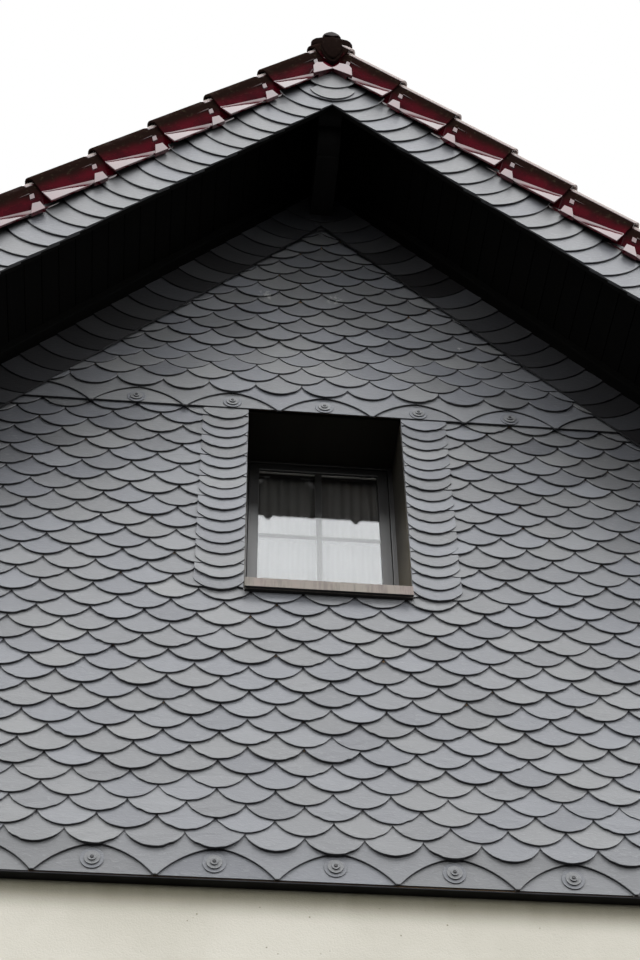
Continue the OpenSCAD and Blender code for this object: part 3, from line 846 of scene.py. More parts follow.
    def thicken(self, depth: float) -> "Piece":
        """Extrude a flat piece towards the building into a closed slab.

        Args:
            depth: The slab's thickness.

        Returns:
            The piece.
        """
        with self.edit(everything=True):
            self.extrude((0, depth, 0))
        return self.face_out()

    def soften(self, test: Callable[[Vector], bool], width: float,
               longest: float = math.inf) -> "Piece":
        """Bevel the edges whose ends pass a test.

        Args:
            test: Takes an end's place.
            width: The bevel's width.
            longest: The length below which an edge has to be.

        Returns:
            The piece.
        """
        with self.edit():
            if self.pick(Elements.EDGES, test, longest):
                bpy.ops.mesh.bevel(offset=width, segments=1, affect="EDGES", clamp_overlap=True)
        return self

    def shift(self, test: Callable[[Vector], bool], step: Point) -> "Piece":
        """Move the vertices that pass a test.

        Args:
            test: Takes a vertex's place.
            step: How far they move.

        Returns:
            The piece.
        """
        with self.edit():
            if self.pick(Elements.VERTS, test):
                bpy.ops.transform.translate(value=step)
        return self

    def mark(self, name: str, value: Callable[[Any], float] | float,
             domain: str = "FACE") -> "Piece":
        """Store a number on the mesh, which a finish can read.

        Args:
            name: The number's name.
            value: The number, or what gives it for a face or a vertex.
            domain: FACE, or POINT for a number that runs smoothly over the faces.

        Returns:
            The piece.
        """
        mesh = self.obj.data
        items = mesh.polygons if domain == "FACE" else mesh.vertices
        numbers = [value(item) if callable(value) else value for item in items]
        values = mesh.attributes.get(name) or mesh.attributes.new(name, "FLOAT", domain)
        values.data.foreach_set("value", numbers)
        return self

    def modify(self, kind: str, settings: dict[str, Any]) -> "Piece":
        """Add a modifier and apply it.

        Args:
            kind: The modifier's type.
            settings: Its settings.

        Returns:
            The piece.
        """
        self.alone()
        modifier = self.obj.modifiers.new(kind.lower(), kind)
        for name, value in settings.items():
            setattr(modifier, name, value)
        bpy.ops.object.modifier_apply(modifier=modifier.name)
        return self

    def rounded(self, width: float, segments: int = 2, angle: float = 35.0) -> "Piece":
        """Round the edges that are sharper than an angle in degrees."""
        return self.modify("BEVEL", {"width": width, "segments": segments,
                                     "limit_method": "ANGLE", "angle_limit": math.radians(angle),
                                     "use_clamp_overlap": True})

    def smooth(self, angle: float = 35.0) -> "Piece":
        """Shade smooth across edges below an angle in degrees."""
        self.alone()
        bpy.ops.object.shade_smooth_by_angle(angle=math.radians(angle))
        return self

    def copy(self, place: Matrix, tone: float | None = None) -> "Piece":
        """Copy this piece with its own mesh to a place, and give it a tone.

        Args:
            place: The copy's place in facade coordinates. It may mirror.
            tone: A number that its finish reads, where it isn't marked on the piece yet.

        Returns:
            The copy.
        """
        mesh = self.obj.data.copy()
        mesh.transform(place)
        if place.determinant() < 0:
            mesh.flip_normals()
        obj = bpy.data.objects.new("copy", mesh)
        bpy.context.scene.collection.objects.link(obj)
        return Piece(obj) if tone is None else Piece(obj).mark("tone", tone)

    def discard(self) -> None:
        """Remove this piece from the scene."""
        bpy.data.objects.remove(self.obj)

    @classmethod
    def joined(cls, pieces: Sequence["Piece"]) -> "Piece":
        """Join pieces into one.

        Args:
            pieces: The pieces.

        Returns:
            The first of them, which takes up the others.
        """
        cls.nothing_selected()
        for piece in pieces:
            piece.obj.select_set(True)
        bpy.context.view_layer.objects.active = pieces[0].obj
        bpy.ops.object.join()
        return pieces[0]

    def finish(self, name: str, finish: Finish, stands_for: Sequence[str] = ()) -> bpy.types.Object:
        """Move the piece into the row frame, dress it and hang it on the object.

        Args:
            name: The piece's name.
            finish: What it is dressed in.
            stands_for: The CAD nodes that it replaces.

        Returns:
            The finished object.
        """
        obj = self.obj
        obj.name = obj.data.name = name
        obj.data.transform(Matrix.Translation((0, -FACADE.origin_y, 0)))
        if "tone" not in obj.data.attributes:
            self.mark("tone", 0.5)
        obj.data.materials.clear()
        obj.data.materials.append(finish.material())
        finish.slot
        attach(obj, "root")
        if stands_for:
            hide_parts(*stands_for)
        LOG.info("%s: %d triangles", name, sum(len(p.vertices) - 2 for p in obj.data.polygons))
        return obj


def dress(nodes: Sequence[str], finish: Finish) -> None:
    """Give CAD nodes that keep their own shape a finish.

    Args:
        nodes: Their names.
        finish: The finish.
    """
    for node in nodes:
        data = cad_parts[node].data
        data.materials.clear()
        data.materials.append(finish.material())
        LOG.info("%s: frame, %s", node, finish.name.lower())


def ease(nodes: Sequence[str], finish: Finish, width: float, ending: str) -> None:
    """Replace CAD nodes by copies with rounded edges.

    Args:
        nodes: Their names.
        finish: What the copies are dressed in.
        width: How far the edges are rounded.
        ending: What the copies' names add to the nodes' names.
    """
    for node in nodes:
        Piece.of_node(node).rounded(width).finish(node + ending, finish, [node])


# ---------------------------------------------------------------- slates


@dataclass
class ScaleSlates:
    """Round-ended slates that are modelled in a few variants and copied by the hundred."""

    pitch: float = 0.200
    gauge: float = 0.062
    length: float = 0.136
    thick: float = 0.0088
    dressed: float = 0.0012  # width of the dressed edge
    ragged: float = 0.0013  # how far the edge's corners stray
    chip_half: float = 0.008
    face_y: float = -0.005  # depth of the tails' faces
    flat_rows: int = 4  # rows over which a proud first row falls back
    variants: int = 6
    seed: int = 7
    shapes: list[Piece] = field(default_factory=list)

    def __post_init__(self) -> None:
        """Model the variants, each with its tail at the origin and its face at Y = 0."""
        self.dice = random.Random(self.seed)
        self.lean = math.atan(self.thick / self.gauge)
        half = self.pitch / 2
        radius = (half * half + self.gauge * self.gauge) / (2 * self.gauge)
        for number in range(self.variants):
            piece = Piece.disc((0, 0, radius), radius, 40)
            piece.cut((0, 0, self.gauge - 0.0005), (0, 0, 1))
            top = max(v.co.z for v in piece.obj.data.vertices)
            with piece.edit():
                piece.pick(Elements.EDGES, lambda p: p.z > top - 0.0005)
                piece.extrude((0, 0, self.length - top))
                bpy.ops.mesh.select_all(action="SELECT")
                bpy.ops.transform.resize(value=(0.995, 1, 1), center_override=(0, 0, 0))
                piece.pick(Elements.VERTS, lambda p: p.z < top - 0.001)
                bpy.ops.transform.vertex_random(offset=self.ragged, uniform=0.0, normal=0.0,
                                                seed=number + 1)
                chip = self.dice.uniform(-0.06, 0.06)
                piece.pick(Elements.VERTS,
                           lambda p: abs(p.x - chip) < self.chip_half and p.z < top - 0.01)
                chipped = self.dice.choice((0.0, 0.002, 0.0032))
                bpy.ops.transform.translate(value=(0, 0, chipped))
            piece.thicken(self.thick)
            piece.soften(lambda p: p.y < self.thick * 0.4 and p.z < top + 0.001, self.dressed,
                         longest=self.pitch * 0.4)
            self.shapes.append(piece)

    def lay(self, x: float, z: float, y: float, wall: Matrix) -> Piece:
        """Lay one slate with its tail at (x, z) and its face at y on a wall.

        Args:
            x: Across the wall.
            z: Height of its lowest point.
            y: Depth of its face at the tail.
            wall: The place of the wall's own coordinates.

        Returns:
            The slate.
        """
        dice = self.dice
        shape = dice.choice(self.shapes)
        lift = y - abs(dice.gauss(0, 0.0011))
        place = Matrix.Translation((x + dice.gauss(0, 0.0014), lift, z + dice.gauss(0, 0.0018)))
        place = place @ Matrix.Rotation(-self.lean + dice.gauss(0, 0.003), 4, "X")
        place = place @ Matrix.Rotation(dice.gauss(0, 0.008), 4, "Y")
        place = place @ Matrix.Rotation(dice.gauss(0, 0.004), 4, "Z")
        if dice.random() < 0.5:
            place = place @ MIRROR
        place = place @ Matrix.Diagonal((1, dice.uniform(0.75, 1.25), 1, 1))
        return shape.copy(wall @ place, min(1.0, max(0.0, dice.gauss(0.5, 0.22))))

    def field(self, x0: float, x1: float, z0: float, rows: int, wall: Matrix = UNIT,
              first_odd: bool = False, first_y: float | None = None,
              first_drop: float = 0.0) -> Piece:
        """Lay rows of slates that are offset by half a slate from row to row.

        Args:
            x0: Left end.
            x1: Right end.
            z0: Height of the first row's tails.
            rows: Number of rows.
            wall: The place of the wall's own coordinates.
            first_odd: Whether the first row is centred on odd multiples of half the pitch.
            first_y: Depth of the first row's faces, where it stands out.
            first_drop: How much lower the first row hangs.

        Returns:
            The slates.
        """
        half = self.pitch / 2
        proud = 0.0 if first_y is None else first_y - self.face_y
        laid = []
        for row in range(rows):
            shift = half if (row + first_odd) % 2 else 0.0
            depth = self.face_y + proud * max(0.0, 1 - row / self.flat_rows)
            height = z0 + row * self.gauge - (0.0 if row else first_drop)
            first = math.floor((x0 - shift) / self.pitch)
            last = math.ceil((x1 - shift) / self.pitch)
            for number in range(first, last + 1):
                x = number * self.pitch + shift
                if x0 - half < x < x1 + half:
                    laid.append(self.lay(x, height, depth, wall))
        return Piece.joined(laid)

    def clear(self) -> None:
        """Remove the variants after the last copy."""
        for shape in self.shapes:
            shape.discard()


@dataclass
class StripSlates:
    """Slates of a strip that climbs a slope, each with one round lower edge."""

    radius: float
    spacing: float
    width: float  # across the slope
    length: float  # up the slope
    thick: float
    foot_over: float  # height of the strip's foot over the soffit
    face_y: float
    dressed: float = 0.002
    seed: int = 11
    tone: float = 0.5

    def __post_init__(self) -> None:
        """Work out the directions up the left slope and across it."""
        self.across = Vector(FACADE.across(-1))
        self.along = Vector((self.across.z, 0, -self.across.x))

    def model(self) -> Piece:
        """Model one slate of the left strip.

        Returns:
            The slate. The point where its edge meets the strip's foot is at the origin.
        """
        centre = Vector((0, 0, self.radius))
        piece = Piece.disc(centre, self.radius, 72)
        piece.cut((0, 0, 0), -self.across)
        piece.cut(self.across * self.width, self.across)
        piece.cut(self.along * self.length, self.along)
        piece.thicken(self.thick)

        def on_rim(point: Vector) -> bool:
            """Tell whether a corner lies on the round front edge."""
            away = (Vector((point.x, 0, point.z)) - centre).length
            return point.y < self.thick * 0.4 and abs(away - self.radius) < 0.002

        return piece.soften(on_rim, self.dressed, longest=self.radius * 0.3)

    def lay(self, first: float, last: float, side: int) -> Piece:
        """Lay the strip on one side.

        Args:
            first: Distance down the slope, from the strip's own apex, of the lowest slate.
            last: The same for the highest.
            side: -1 for the left and 1 for the right.

        Returns:
            The slates.
        """
        dice = random.Random(self.seed + side)
        shape = self.model()
        lean = math.atan(self.thick / self.spacing)
        apex = Vector((0, self.face_y, FACADE.meeting_z(self.foot_over)))
        laid = []
        down = first
        while down > last:
            point = apex - self.along * (down + dice.gauss(0, 0.0015))
            point.y -= abs(dice.gauss(0, 0.0006))
            place = Matrix.Translation(point)
            place = place @ Matrix.Rotation(lean + dice.gauss(0, 0.002), 4, self.across)
            place = place @ Matrix.Rotation(dice.gauss(0, 0.004), 4, "Y")
            place = place @ Matrix.Diagonal((1, dice.uniform(0.85, 1.15), 1, 1))
            place = MIRROR @ place if side > 0 else place
            laid.append(shape.copy(place, self.tone + dice.uniform(-0.2, 0.2)))
            down -= self.spacing
        shape.discard()
        return Piece.joined(laid)


@dataclass(frozen=True)
class Course:
    """Where an ornamental course of pointed slates hangs."""

    foot_z: float
    out: float  # how far its foot stands out
    hang: float  # how far the points hang below the foot
    proud: float  # how far the pointed slates stand off the flat ones
    aside: float  # how far the points are off the middle
    spot_z: float  # height of the rosettes over the foot


@dataclass
class SlateHanging:
    """All slates of the front and the cheeks."""

    field_z: float = 0.565
    field_first_y: float = -0.0130
    field_drop: float = 0.006
    gable_z: float = 2.902
    gable_half: float = 1.6
    gable_first_y: float = -0.0190
    gable_drop: float = 0.016
    rows_below: int = 37
    rows_above: int = 21
    spare: float = 0.02  # how far fields are laid past their ends before they are cut
    border_half: float = 0.424
    border_foot: float = 1.725
    border_gauge: float = 0.0617
    border_rows: int = 17
    border_y: float = -0.0125
    rake_w: float = 0.242
    rake_lap: float = 0.035  # how far the fields run up behind the rakes' strips
    rake_y: float = -0.0255
    # a negative tone: painted shade on the rakes' strips
    rake_shade_tone: float = -0.78
    step: float = 0.400  # from point to point
    bow_rise: float = 0.113
    bow_radius: float = 0.331
    bow_tip: float = 0.012
    course_h: float = 0.190
    tip_t: float = 0.0085
    flat_t: float = 0.005
    flat_half: float = 0.199
    disc_radii: tuple[float, ...] = (0.0395, 0.0265, 0.0140)
    disc_t: float = 0.0046
    courses_at: tuple[Course, ...] = (
        Course(FACADE.foot_z + 0.005, 0.0, 0.0, 0.0035, 0.009, 0.056),
        Course(FACADE.head_z - 0.002, 0.0150, 0.011, 0.0048, 0.002, 0.038))

    def front(self) -> None:
        """Hang the fields, the borders and the ornamental courses of the front."""
        f = FACADE
        scales = ScaleSlates()
        limit = f.half_w + self.spare
        room = f.sill_under + self.spare - scales.length - self.field_z
        full = int(room / scales.gauge) + 1
        z1, odd = self.field_z + full * scales.gauge, full % 2 == 1
        parts = [scales.field(-limit, limit, self.field_z, full, first_y=self.field_first_y,
                              first_drop=self.field_drop)]
        for side, _ in SIDES:
            x0, x1 = sorted((side * (f.open_half - 0.01), side * limit))
            beside = scales.field(x0, x1, z1, self.rows_below - full, first_odd=odd)
            parts.append(beside.trim(side * (f.open_half + 0.004), -side))
        rows = int((f.sill_under - z1) / scales.gauge) + 1
        middle = scales.field(-f.open_half, f.open_half, z1, rows, first_odd=odd)
        for side, _ in SIDES:
            middle.trim(side * (f.open_half + 0.0045), side)
        parts.append(middle.below(f.sill_under + self.spare))
        lower = Piece.joined(parts).below(f.head_z + 0.012)
        gable = scales.field(-self.gable_half, self.gable_half, self.gable_z, self.rows_above,
                             first_y=self.gable_first_y, first_drop=self.gable_drop)
        whole = Piece.joined([lower, gable]).under_roof(self.rake_lap - self.rake_w)
        whole.finish("scale_slates", Finish.SLATE, ["front_slates"])
        scales.clear()
        self.borders()
        self.rakes()
        self.courses()

    def borders(self) -> None:
        """Hang the narrow borders beside the window."""
        scales = ScaleSlates(pitch=0.197, gauge=0.0575, length=0.130, thick=0.0078, seed=21)
        strips = []
        for side, _ in SIDES:
            heights = [self.border_foot + row * self.border_gauge
                       for row in range(self.border_rows)]
            strip = Piece.joined([scales.lay(side * self.border_half, z, self.border_y, UNIT)
                                  for z in heights])
            strip.trim(side * (self.border_half - 0.0965), -side)
            strips.append(strip.trim(side * (self.border_half + 0.0975), side))
        piece = Piece.joined(strips).below(FACADE.head_z + 0.003)
        piece.finish("window_border_slates", Finish.SLATE)
        scales.clear()

    def rakes(self) -> None:
        """Hang the strips that follow the roof's rakes."""
        strip = StripSlates(radius=0.250, spacing=0.106, width=self.rake_w + 0.004, length=0.150,
                            thick=0.0060, foot_over=-self.rake_w, face_y=self.rake_y,
                            dressed=0.0014, tone=self.rake_shade_tone)
        halves = [strip.lay(2.30, -0.35, side).trim(0, -side) for side, _ in SIDES]
        piece = Piece.joined(halves).under_roof(-0.001)
        piece.finish("rake_border_slates", Finish.SLATE)

    def tip_slate(self) -> Piece:
        """Model one pointed slate of an ornamental course.

        Returns:
            The slate, from one bow's crown to the next, its point at the middle.
        """
        half = self.step / 2
        reach = half - self.bow_tip / 2
        chord = math.hypot(reach, self.bow_rise)
        back = math.sqrt(self.bow_radius ** 2 - chord * chord / 4) / chord
        centre = (reach / 2 - back * self.bow_rise, 0, self.bow_rise / 2 - back * reach)
        piece = Piece.disc(centre, self.bow_radius, 144, fill="NOTHING")
        piece.cut((0, 0, 0), (0, 0, -1)).cut((0, 0, 0), (-1, 0, 0))
        far_x = max(v.co.x for v in piece.obj.data.vertices)
        with piece.edit():
            piece.pick(Elements.VERTS, lambda p: p.x > far_x - 0.0001)
            piece.extrude((half - reach, 0, 0))
            bpy.ops.mesh.select_all(action="SELECT")
            piece.extrude((0, 0, 0.5))
            bpy.ops.transform.resize(value=(1, 1, 0), center_override=(0, 0, self.course_h))
        other = piece.copy(Matrix.Translation((self.step, 0, 0)) @ MIRROR)
        whole = Piece.joined([piece, other])
        with whole.edit(everything=True):
            bpy.ops.mesh.remove_doubles(threshold=0.0002)
        whole.face_out().thicken(self.tip_t)
        whole.soften(lambda p: p.y < 0.001 and p.z < self.bow_rise + 0.001, 0.0016, longest=0.05)
        with whole.edit(everything=True):
            bpy.ops.transform.translate(value=(-half, 0, 0))
            bpy.ops.transform.resize(value=(0.994, 1, 1), center_override=(0, 0, 0))
        return whole

    def rosette(self) -> Piece:
        """Model three stacked round slates with a nail.

        Returns:
            The rosette, standing on Y = 0.
        """
        parts = []
        for number, radius in enumerate(self.disc_radii, 1):
            y = -self.disc_t * number
            disc = Piece.disc((0, y, 0), radius, 28).thicken(self.disc_t)
            parts.append(disc.soften(lambda p, y=y: p.y < y + 0.001, 0.0007))
        nail = Piece.disc((0, -0.0165, 0), 0.0070, 10).thicken(0.0030)
        parts.append(nail.soften(lambda p: p.y < -0.0160, 0.0015))
        for part, tone in zip(parts, (0.45, 0.6, 0.5, -0.9)):
            part.mark("tone", tone)
        return Piece.joined(parts)

    def flat_slate(self, half: float) -> Piece:
        """Model a square-ended slate of a course, half being half its width."""
        slate = Piece.block((-half, 0, 0), (half, self.flat_t, self.course_h))
        return slate.soften(lambda p: p.y < 0.001, 0.0012)

    def courses(self) -> None:
        """Hang the ornamental courses: flat slates with rosettes under pointed slates."""
        f = FACADE
        dice = random.Random(5)
        tip, rosette, flat = self.tip_slate(), self.rosette(), self.flat_slate(self.flat_half)
        pieces = []
        for at in self.courses_at:
            inner = min(f.half_w, (f.meeting_z(-self.rake_w) - at.foot_z) / math.tan(f.pitch))
            turn = Matrix.Rotation(-math.atan((self.flat_t + at.out) / self.course_h), 4, "X")
            course = []
            for number in range(-4, 5):
                x = number * self.step
                y = 0.0050 - at.out - dice.uniform(0, 0.0009)
                shift = Matrix.Translation((x, y, at.foot_z + dice.gauss(0, 0.0008)))
                course.append(flat.copy(shift @ turn, dice.uniform(0.25, 0.8)))
                y = -at.proud - at.out - dice.uniform(0, 0.0010)
                shift = Matrix.Translation((x + self.step / 2 + at.aside, y, at.foot_z - at.hang))
                swing = Matrix.Rotation(dice.gauss(0, 0.003), 4, "Y")
                course.append(tip.copy(shift @ turn @ swing, dice.uniform(0.25, 0.8)))
                if abs(x) < inner - 0.09:
                    spot = Matrix.Translation((x + dice.gauss(0, 0.004), 0.0052 - at.out,
                                               at.foot_z))
                    up = Matrix.Translation((0, 0, at.spot_z + dice.gauss(0, 0.002)))
                    spin = Matrix.Rotation(number, 4, "Y")
                    course.append(rosette.copy(spot @ turn @ up @ spin))
            pieces.append(Piece.joined(course).under_roof(self.rake_lap - self.rake_w))
        for piece in (tip, rosette, flat):
            piece.discard()
        Piece.joined(pieces).finish("ornamental_slates", Finish.SLATE, ["bow_slates"])

    def cheeks(self) -> None:
        """Hang the two cheeks with plain fields of scales over a straight foot course."""
        f = FACADE
        for side, name in SIDES:
            scales = ScaleSlates(seed=40 + side, variants=3)
            wall = Matrix.Translation((side * (f.half_w - 0.002), 0, 0))
            wall = wall @ Matrix.Rotation(side * math.pi / 2, 4, "Z")
            x0, x1 = (0.0, f.depth) if side > 0 else (-f.depth, 0.0)
            rows = int((f.soffit_z + self.spare - self.field_z) / scales.gauge)
            slates = [scales.field(x0, x1, self.field_z, rows, wall)]
            foot = self.flat_slate(0.099)
            dice = random.Random(60 + side)
            lean = Matrix.Rotation(-math.atan(self.flat_t / self.course_h), 4, "X")
            for number in range(12):
                place = Matrix.Translation((x0 + 0.1 + number * 0.2, 0.003, f.foot_z)) @ lean
                slates.append(foot.copy(wall @ place, dice.uniform(0.3, 0.7)))
            foot.discard()
            piece = Piece.joined(slates).cut((0, f.slate_t - 0.006, 0), (0, -1, 0), True)
            piece.cut((0, f.depth, 0), (0, 1, 0), True).below(f.soffit_z + 0.008)
            piece.finish(f"cheek_scale_slates_{name}", Finish.SLATE, [f"cheek_slates_{name}"])
            scales.clear()


# ---------------------------------------------------------------- roof


@dataclass
class Roof:
    """The covering, the boards of the slopes and the trim of verge and eaves."""

    gauge: float = 0.358
    tile_l: float = 0.408
    tile_w: float = 0.200
    thick: float = 0.010
    courses: int = 8
    nose_s: float = 2.4143  # the first course's nose, down the slope and across it
    nose_h: float = 0.2402
    tilt: float = math.atan(0.016 / 0.358)
    verge_nose_y: float = -0.642
    verge_inner: float = -0.446
    verge_foot: float = -0.184
    leg_lean: float = 0.34
    leg_bands: tuple[float, ...] = (-0.0885, -0.076, -0.064, -0.052, -0.040, -0.030, -0.022)
    verge_stations: tuple[float, ...] = (0.060, 0.125, 0.190, 0.250, 0.325, 0.345, 0.408)
    crest_r: float = 0.037
    edge_r: float = 0.0012
    barge_y: float = -0.592
    barge_drop: float = 0.128
    barge_spacing: float = 0.105
    deck_half: float = 1.800
    rafter_end: float = 1.775
    ridge_z: float = 4.8175
    ridge_front: float = -0.640
    # Half outlines, as distances from the middle and heights.
    lug: tuple[tuple[float, float], ...] = (
        (0.0, 4.570), (0.0, 4.590), (0.034, 4.641), (0.079, 4.627), (0.093, 4.588), (0.092, 4.500))
    cap: tuple[tuple[float, float], ...] = (
        (0.0, 4.910), (0.012, 4.908), (0.026, 4.900), (0.038, 4.886), (0.045, 4.866),
        (0.048, 4.846), (0.060, 4.846), (0.078, 4.840), (0.092, 4.824), (0.100, 4.800),
        (0.101, 4.778), (0.096, 4.766), (0.090, 4.780), (0.078, 4.790), (0.066, 4.784),
        (0.058, 4.776), (0.054, 4.740), (0.044, 4.700), (0.030, 4.664), (0.014, 4.634),
        (0.0, 4.622))
    boss: tuple[tuple[float, float], ...] = (
        (0.0, 4.846), (0.030, 4.838), (0.046, 4.816), (0.050, 4.784), (0.047, 4.744),
        (0.036, 4.702), (0.019, 4.662), (0.0, 4.642))
    crown: tuple[tuple[float, float], ...] = (
        (0.0, 4.900), (0.018, 4.892), (0.032, 4.878), (0.036, 4.862), (0.0, 4.854))

    def place(self, course: int, side: int) -> Matrix:
        """Return the place of a course's nose line.

        Args:
            course: 0 at the eaves.
            side: -1 for the left and 1 for the right.

        Returns:
            The place, where -X runs up the slope.
        """
        nose = Matrix.Translation((self.nose_s - course * self.gauge, 0, self.nose_h))
        return FACADE.on_slope(side) @ nose @ Matrix.Rotation(-self.tilt, 4, "Y")

    def swept(self, section: Sequence[tuple[float, float]], stations: Sequence[float]) -> Piece:
        """Sweep a line drawn in Y and Z up the slope.

        Args:
            section: The upper surface, from the outside inwards.
            stations: Distances from the nose at which the sheet gets a row of vertices.

        Returns:
            The tile's sheet, without thickness.
        """
        piece = Piece.outline([(0, y, z) for y, z in section], filled=False)
        with piece.edit(everything=True):
            for last, station in zip((0.0, *stations), stations):
                piece.extrude((last - station, 0, 0))
        return piece

    def thickened(self, piece: Piece) -> Piece:
        """Give a sheet its thickness below and dress its edges.

        Args:
            piece: The sheet.

        Returns:
            The same piece.
        """
        piece.face_out()
        up = sum(p.normal.z for p in piece.obj.data.polygons)
        piece.modify("SOLIDIFY", {"thickness": self.thick, "offset": -1.0 if up > 0 else 1.0,
                                  "use_even_offset": True})
        return piece.face_out().rounded(0.0015, 1, 50.0).smooth(22.0)

    def leg_y(self, height: float, out: float = 0.0) -> float:
        """Return how far in a verge tile's leg lies at a height off the tile, less a step out."""
        return (-0.010 - height) * self.leg_lean - 0.018 - out

    def verge_tile(self, crest_age_and_highlight: float) -> Piece:
        """Model a verge tile: pan, round crest, leg that leans in, flared lip, lug and clip.

        Args:
            crest_age_and_highlight: How far the crest has weathered, dark towards 1; below 0 it
                carries a painted highlight, pale towards -1.

        Returns:
            The tile.
        """
        foot, leg_y = self.verge_foot, self.leg_y
        turns = [math.radians(angle) for angle in range(180, -1, -20)]
        crest = [(0.022 + self.crest_r * math.cos(a), self.crest_r * math.sin(a) - 0.014)
                 for a in turns]
        section = [(-0.0082, foot), *((leg_y(z), z) for z in self.leg_bands), *crest,
                   (0.066, 0.004), (0.190, 0.006)]
        piece = self.swept(section, self.verge_stations)
        for station in self.verge_stations:
            for number, height in enumerate(self.leg_bands[:4]):
                down = -0.136 * station * (1 - number / 4)
                piece.shift(lambda p, station=station, height=height:
                            near(p.x, -station) and near(p.z, height) and p.y < 0.05,
                            (0, leg_y(down) - leg_y(0.0), down))
            piece.shift(lambda p, station=station: near(p.x, -station) and near(p.z, foot),
                        (0, 0.0713 * station, 0.0961 * station))
        piece.shift(lambda p: near(p.x, 0.0) and near(p.z, foot), (0.004, 0, 0))
        piece.shift(lambda p: near(p.x, 0.0) and foot + 0.01 < p.z < -0.017, (-0.020, 0, 0))
        piece.shift(lambda p: near(p.x, 0.0) and p.z > -0.017, (-0.016, 0, 0))
        self.thickened(piece)

        def age(vertex: bpy.types.MeshVertex) -> float:
            """Return how weathered the tile is at a vertex, the crest most and the leg not at all;
            numbers below 0 are a painted highlight.
            """
            point = vertex.co
            if point.y > 0.03 and point.z > -0.03:
                return 0.9
            edge = 0.05 * point.x - 0.060
            rise = min(1.0, max(0.0, (point.z - edge) / 0.050 + 0.5))
            if point.z <= -0.021:
                return rise
            # The crest's head end, under the next tile's hood, carries a painted highlight.
            return min(rise, -0.9 if point.x < -0.336 else crest_age_and_highlight)

        piece.mark("age_and_highlight", age, "POINT")
        lug = Piece.outline([(-0.231, -0.0069, -0.1783), (-0.290, 0.0020, -0.1105),
                             (-0.328, 0.0010, -0.1180), (-0.308, -0.0068, -0.1777)])
        clip = Piece.outline([(-0.303, leg_y(-0.084, 0.005), -0.084),
                              (-0.316, leg_y(-0.058, 0.001), -0.058),
                              (-0.341, leg_y(-0.058, 0.001), -0.058),
                              (-0.328, leg_y(-0.084, 0.005), -0.084)])
        tail = Piece.outline([(-0.236, leg_y(-0.0550, 0.0005), -0.0550),
                              (-0.322, leg_y(-0.0510, 0.001), -0.0510),
                              (-0.322, leg_y(-0.0590, 0.004), -0.0590)])
        parts = [piece]
        for part, depth, age_and_highlight in ((lug, 0.020, 0.0), (clip, 0.012, 0.1), (tail, 0.008, 0.7)):
            part.thicken(depth).rounded(self.edge_r, 1, 50.0)
            parts.append(part.mark("age_and_highlight", age_and_highlight, "POINT"))
        return Piece.joined(parts)

    def verges(self) -> None:
        """Lay both verges and the two lugs at the apex."""
        dice = random.Random(3)
        nose = Matrix.Translation((0, self.verge_nose_y, 0)) @ Matrix.Rotation(-self.tilt, 4, "Z")
        # The left crest weathers dark; the right crest's outer side carries a painted highlight.
        for (side, name), crest_age_and_highlight in zip(SIDES, (1.0, -0.8)):
            tile = self.verge_tile(crest_age_and_highlight)
            laid = []
            for course in range(self.courses):
                wobble = Matrix.Translation((dice.gauss(0, 0.0015), 0, 0))
                wobble = wobble @ Matrix.Rotation(dice.gauss(0, 0.002), 4, "X")
                laid.append(tile.copy(self.place(course, side) @ nose @ wobble, dice.random()))
            piece = Piece.joined(laid).trim(side * 0.001, -side)
            piece.finish(f"verge_tiles_{name}_glazed", Finish.TILE, [f"verge_tiles_{name}"])
            tile.discard()
        lugs = []
        for side, _ in SIDES:
            points = [(side * x, self.verge_nose_y - 0.012 + (z - 4.517) * 0.13, z)
                      for x, z in self.lug]
            lug = Piece.outline(points).thicken(0.020).rounded(self.edge_r, 1, 50.0)
            lugs.append(lug.mark("age_and_highlight", 0.0, "POINT").mark("tone", 0.5))
        Piece.joined(lugs).finish("apex_lugs_glazed", Finish.TILE)

    def field_tiles(self) -> None:
        """Cover both slopes with pantiles, each with a roll on its middle."""
        dice = random.Random(8)
        pan_z, roll_h = 0.014, 0.024
        section = [(0.0, pan_z), (0.066, pan_z)]
        section += [(0.1 + 0.035 * k / 4, pan_z + roll_h * math.cos(math.pi * k / 8) ** 2)
                    for k in range(-3, 4)]
        section += [(0.134, pan_z), (self.tile_w - 0.002, pan_z)]
        tile = self.thickened(self.swept(section, (0.02, self.tile_l))).mark("age_and_highlight", 0.5)
        columns = int((FACADE.depth - self.verge_inner) / self.tile_w) + 1
        for side, name in SIDES:
            laid = []
            for course in range(self.courses):
                for column in range(columns):
                    y = self.verge_inner + 0.001 + column * self.tile_w
                    offset = (dice.gauss(0, 0.0015), y, dice.gauss(0, 0.0006))
                    place = self.place(course, side) @ Matrix.Translation(offset)
                    laid.append(tile.copy(place, dice.random()))
            piece = Piece.joined(laid).trim(side * 0.020, -side)
            piece.cut((0, FACADE.depth, 0), (0, 1, 0), True)
            piece.finish(f"roof_tiles_{name}_laid", Finish.TILE, [f"roof_tiles_{name}"])
        tile.discard()

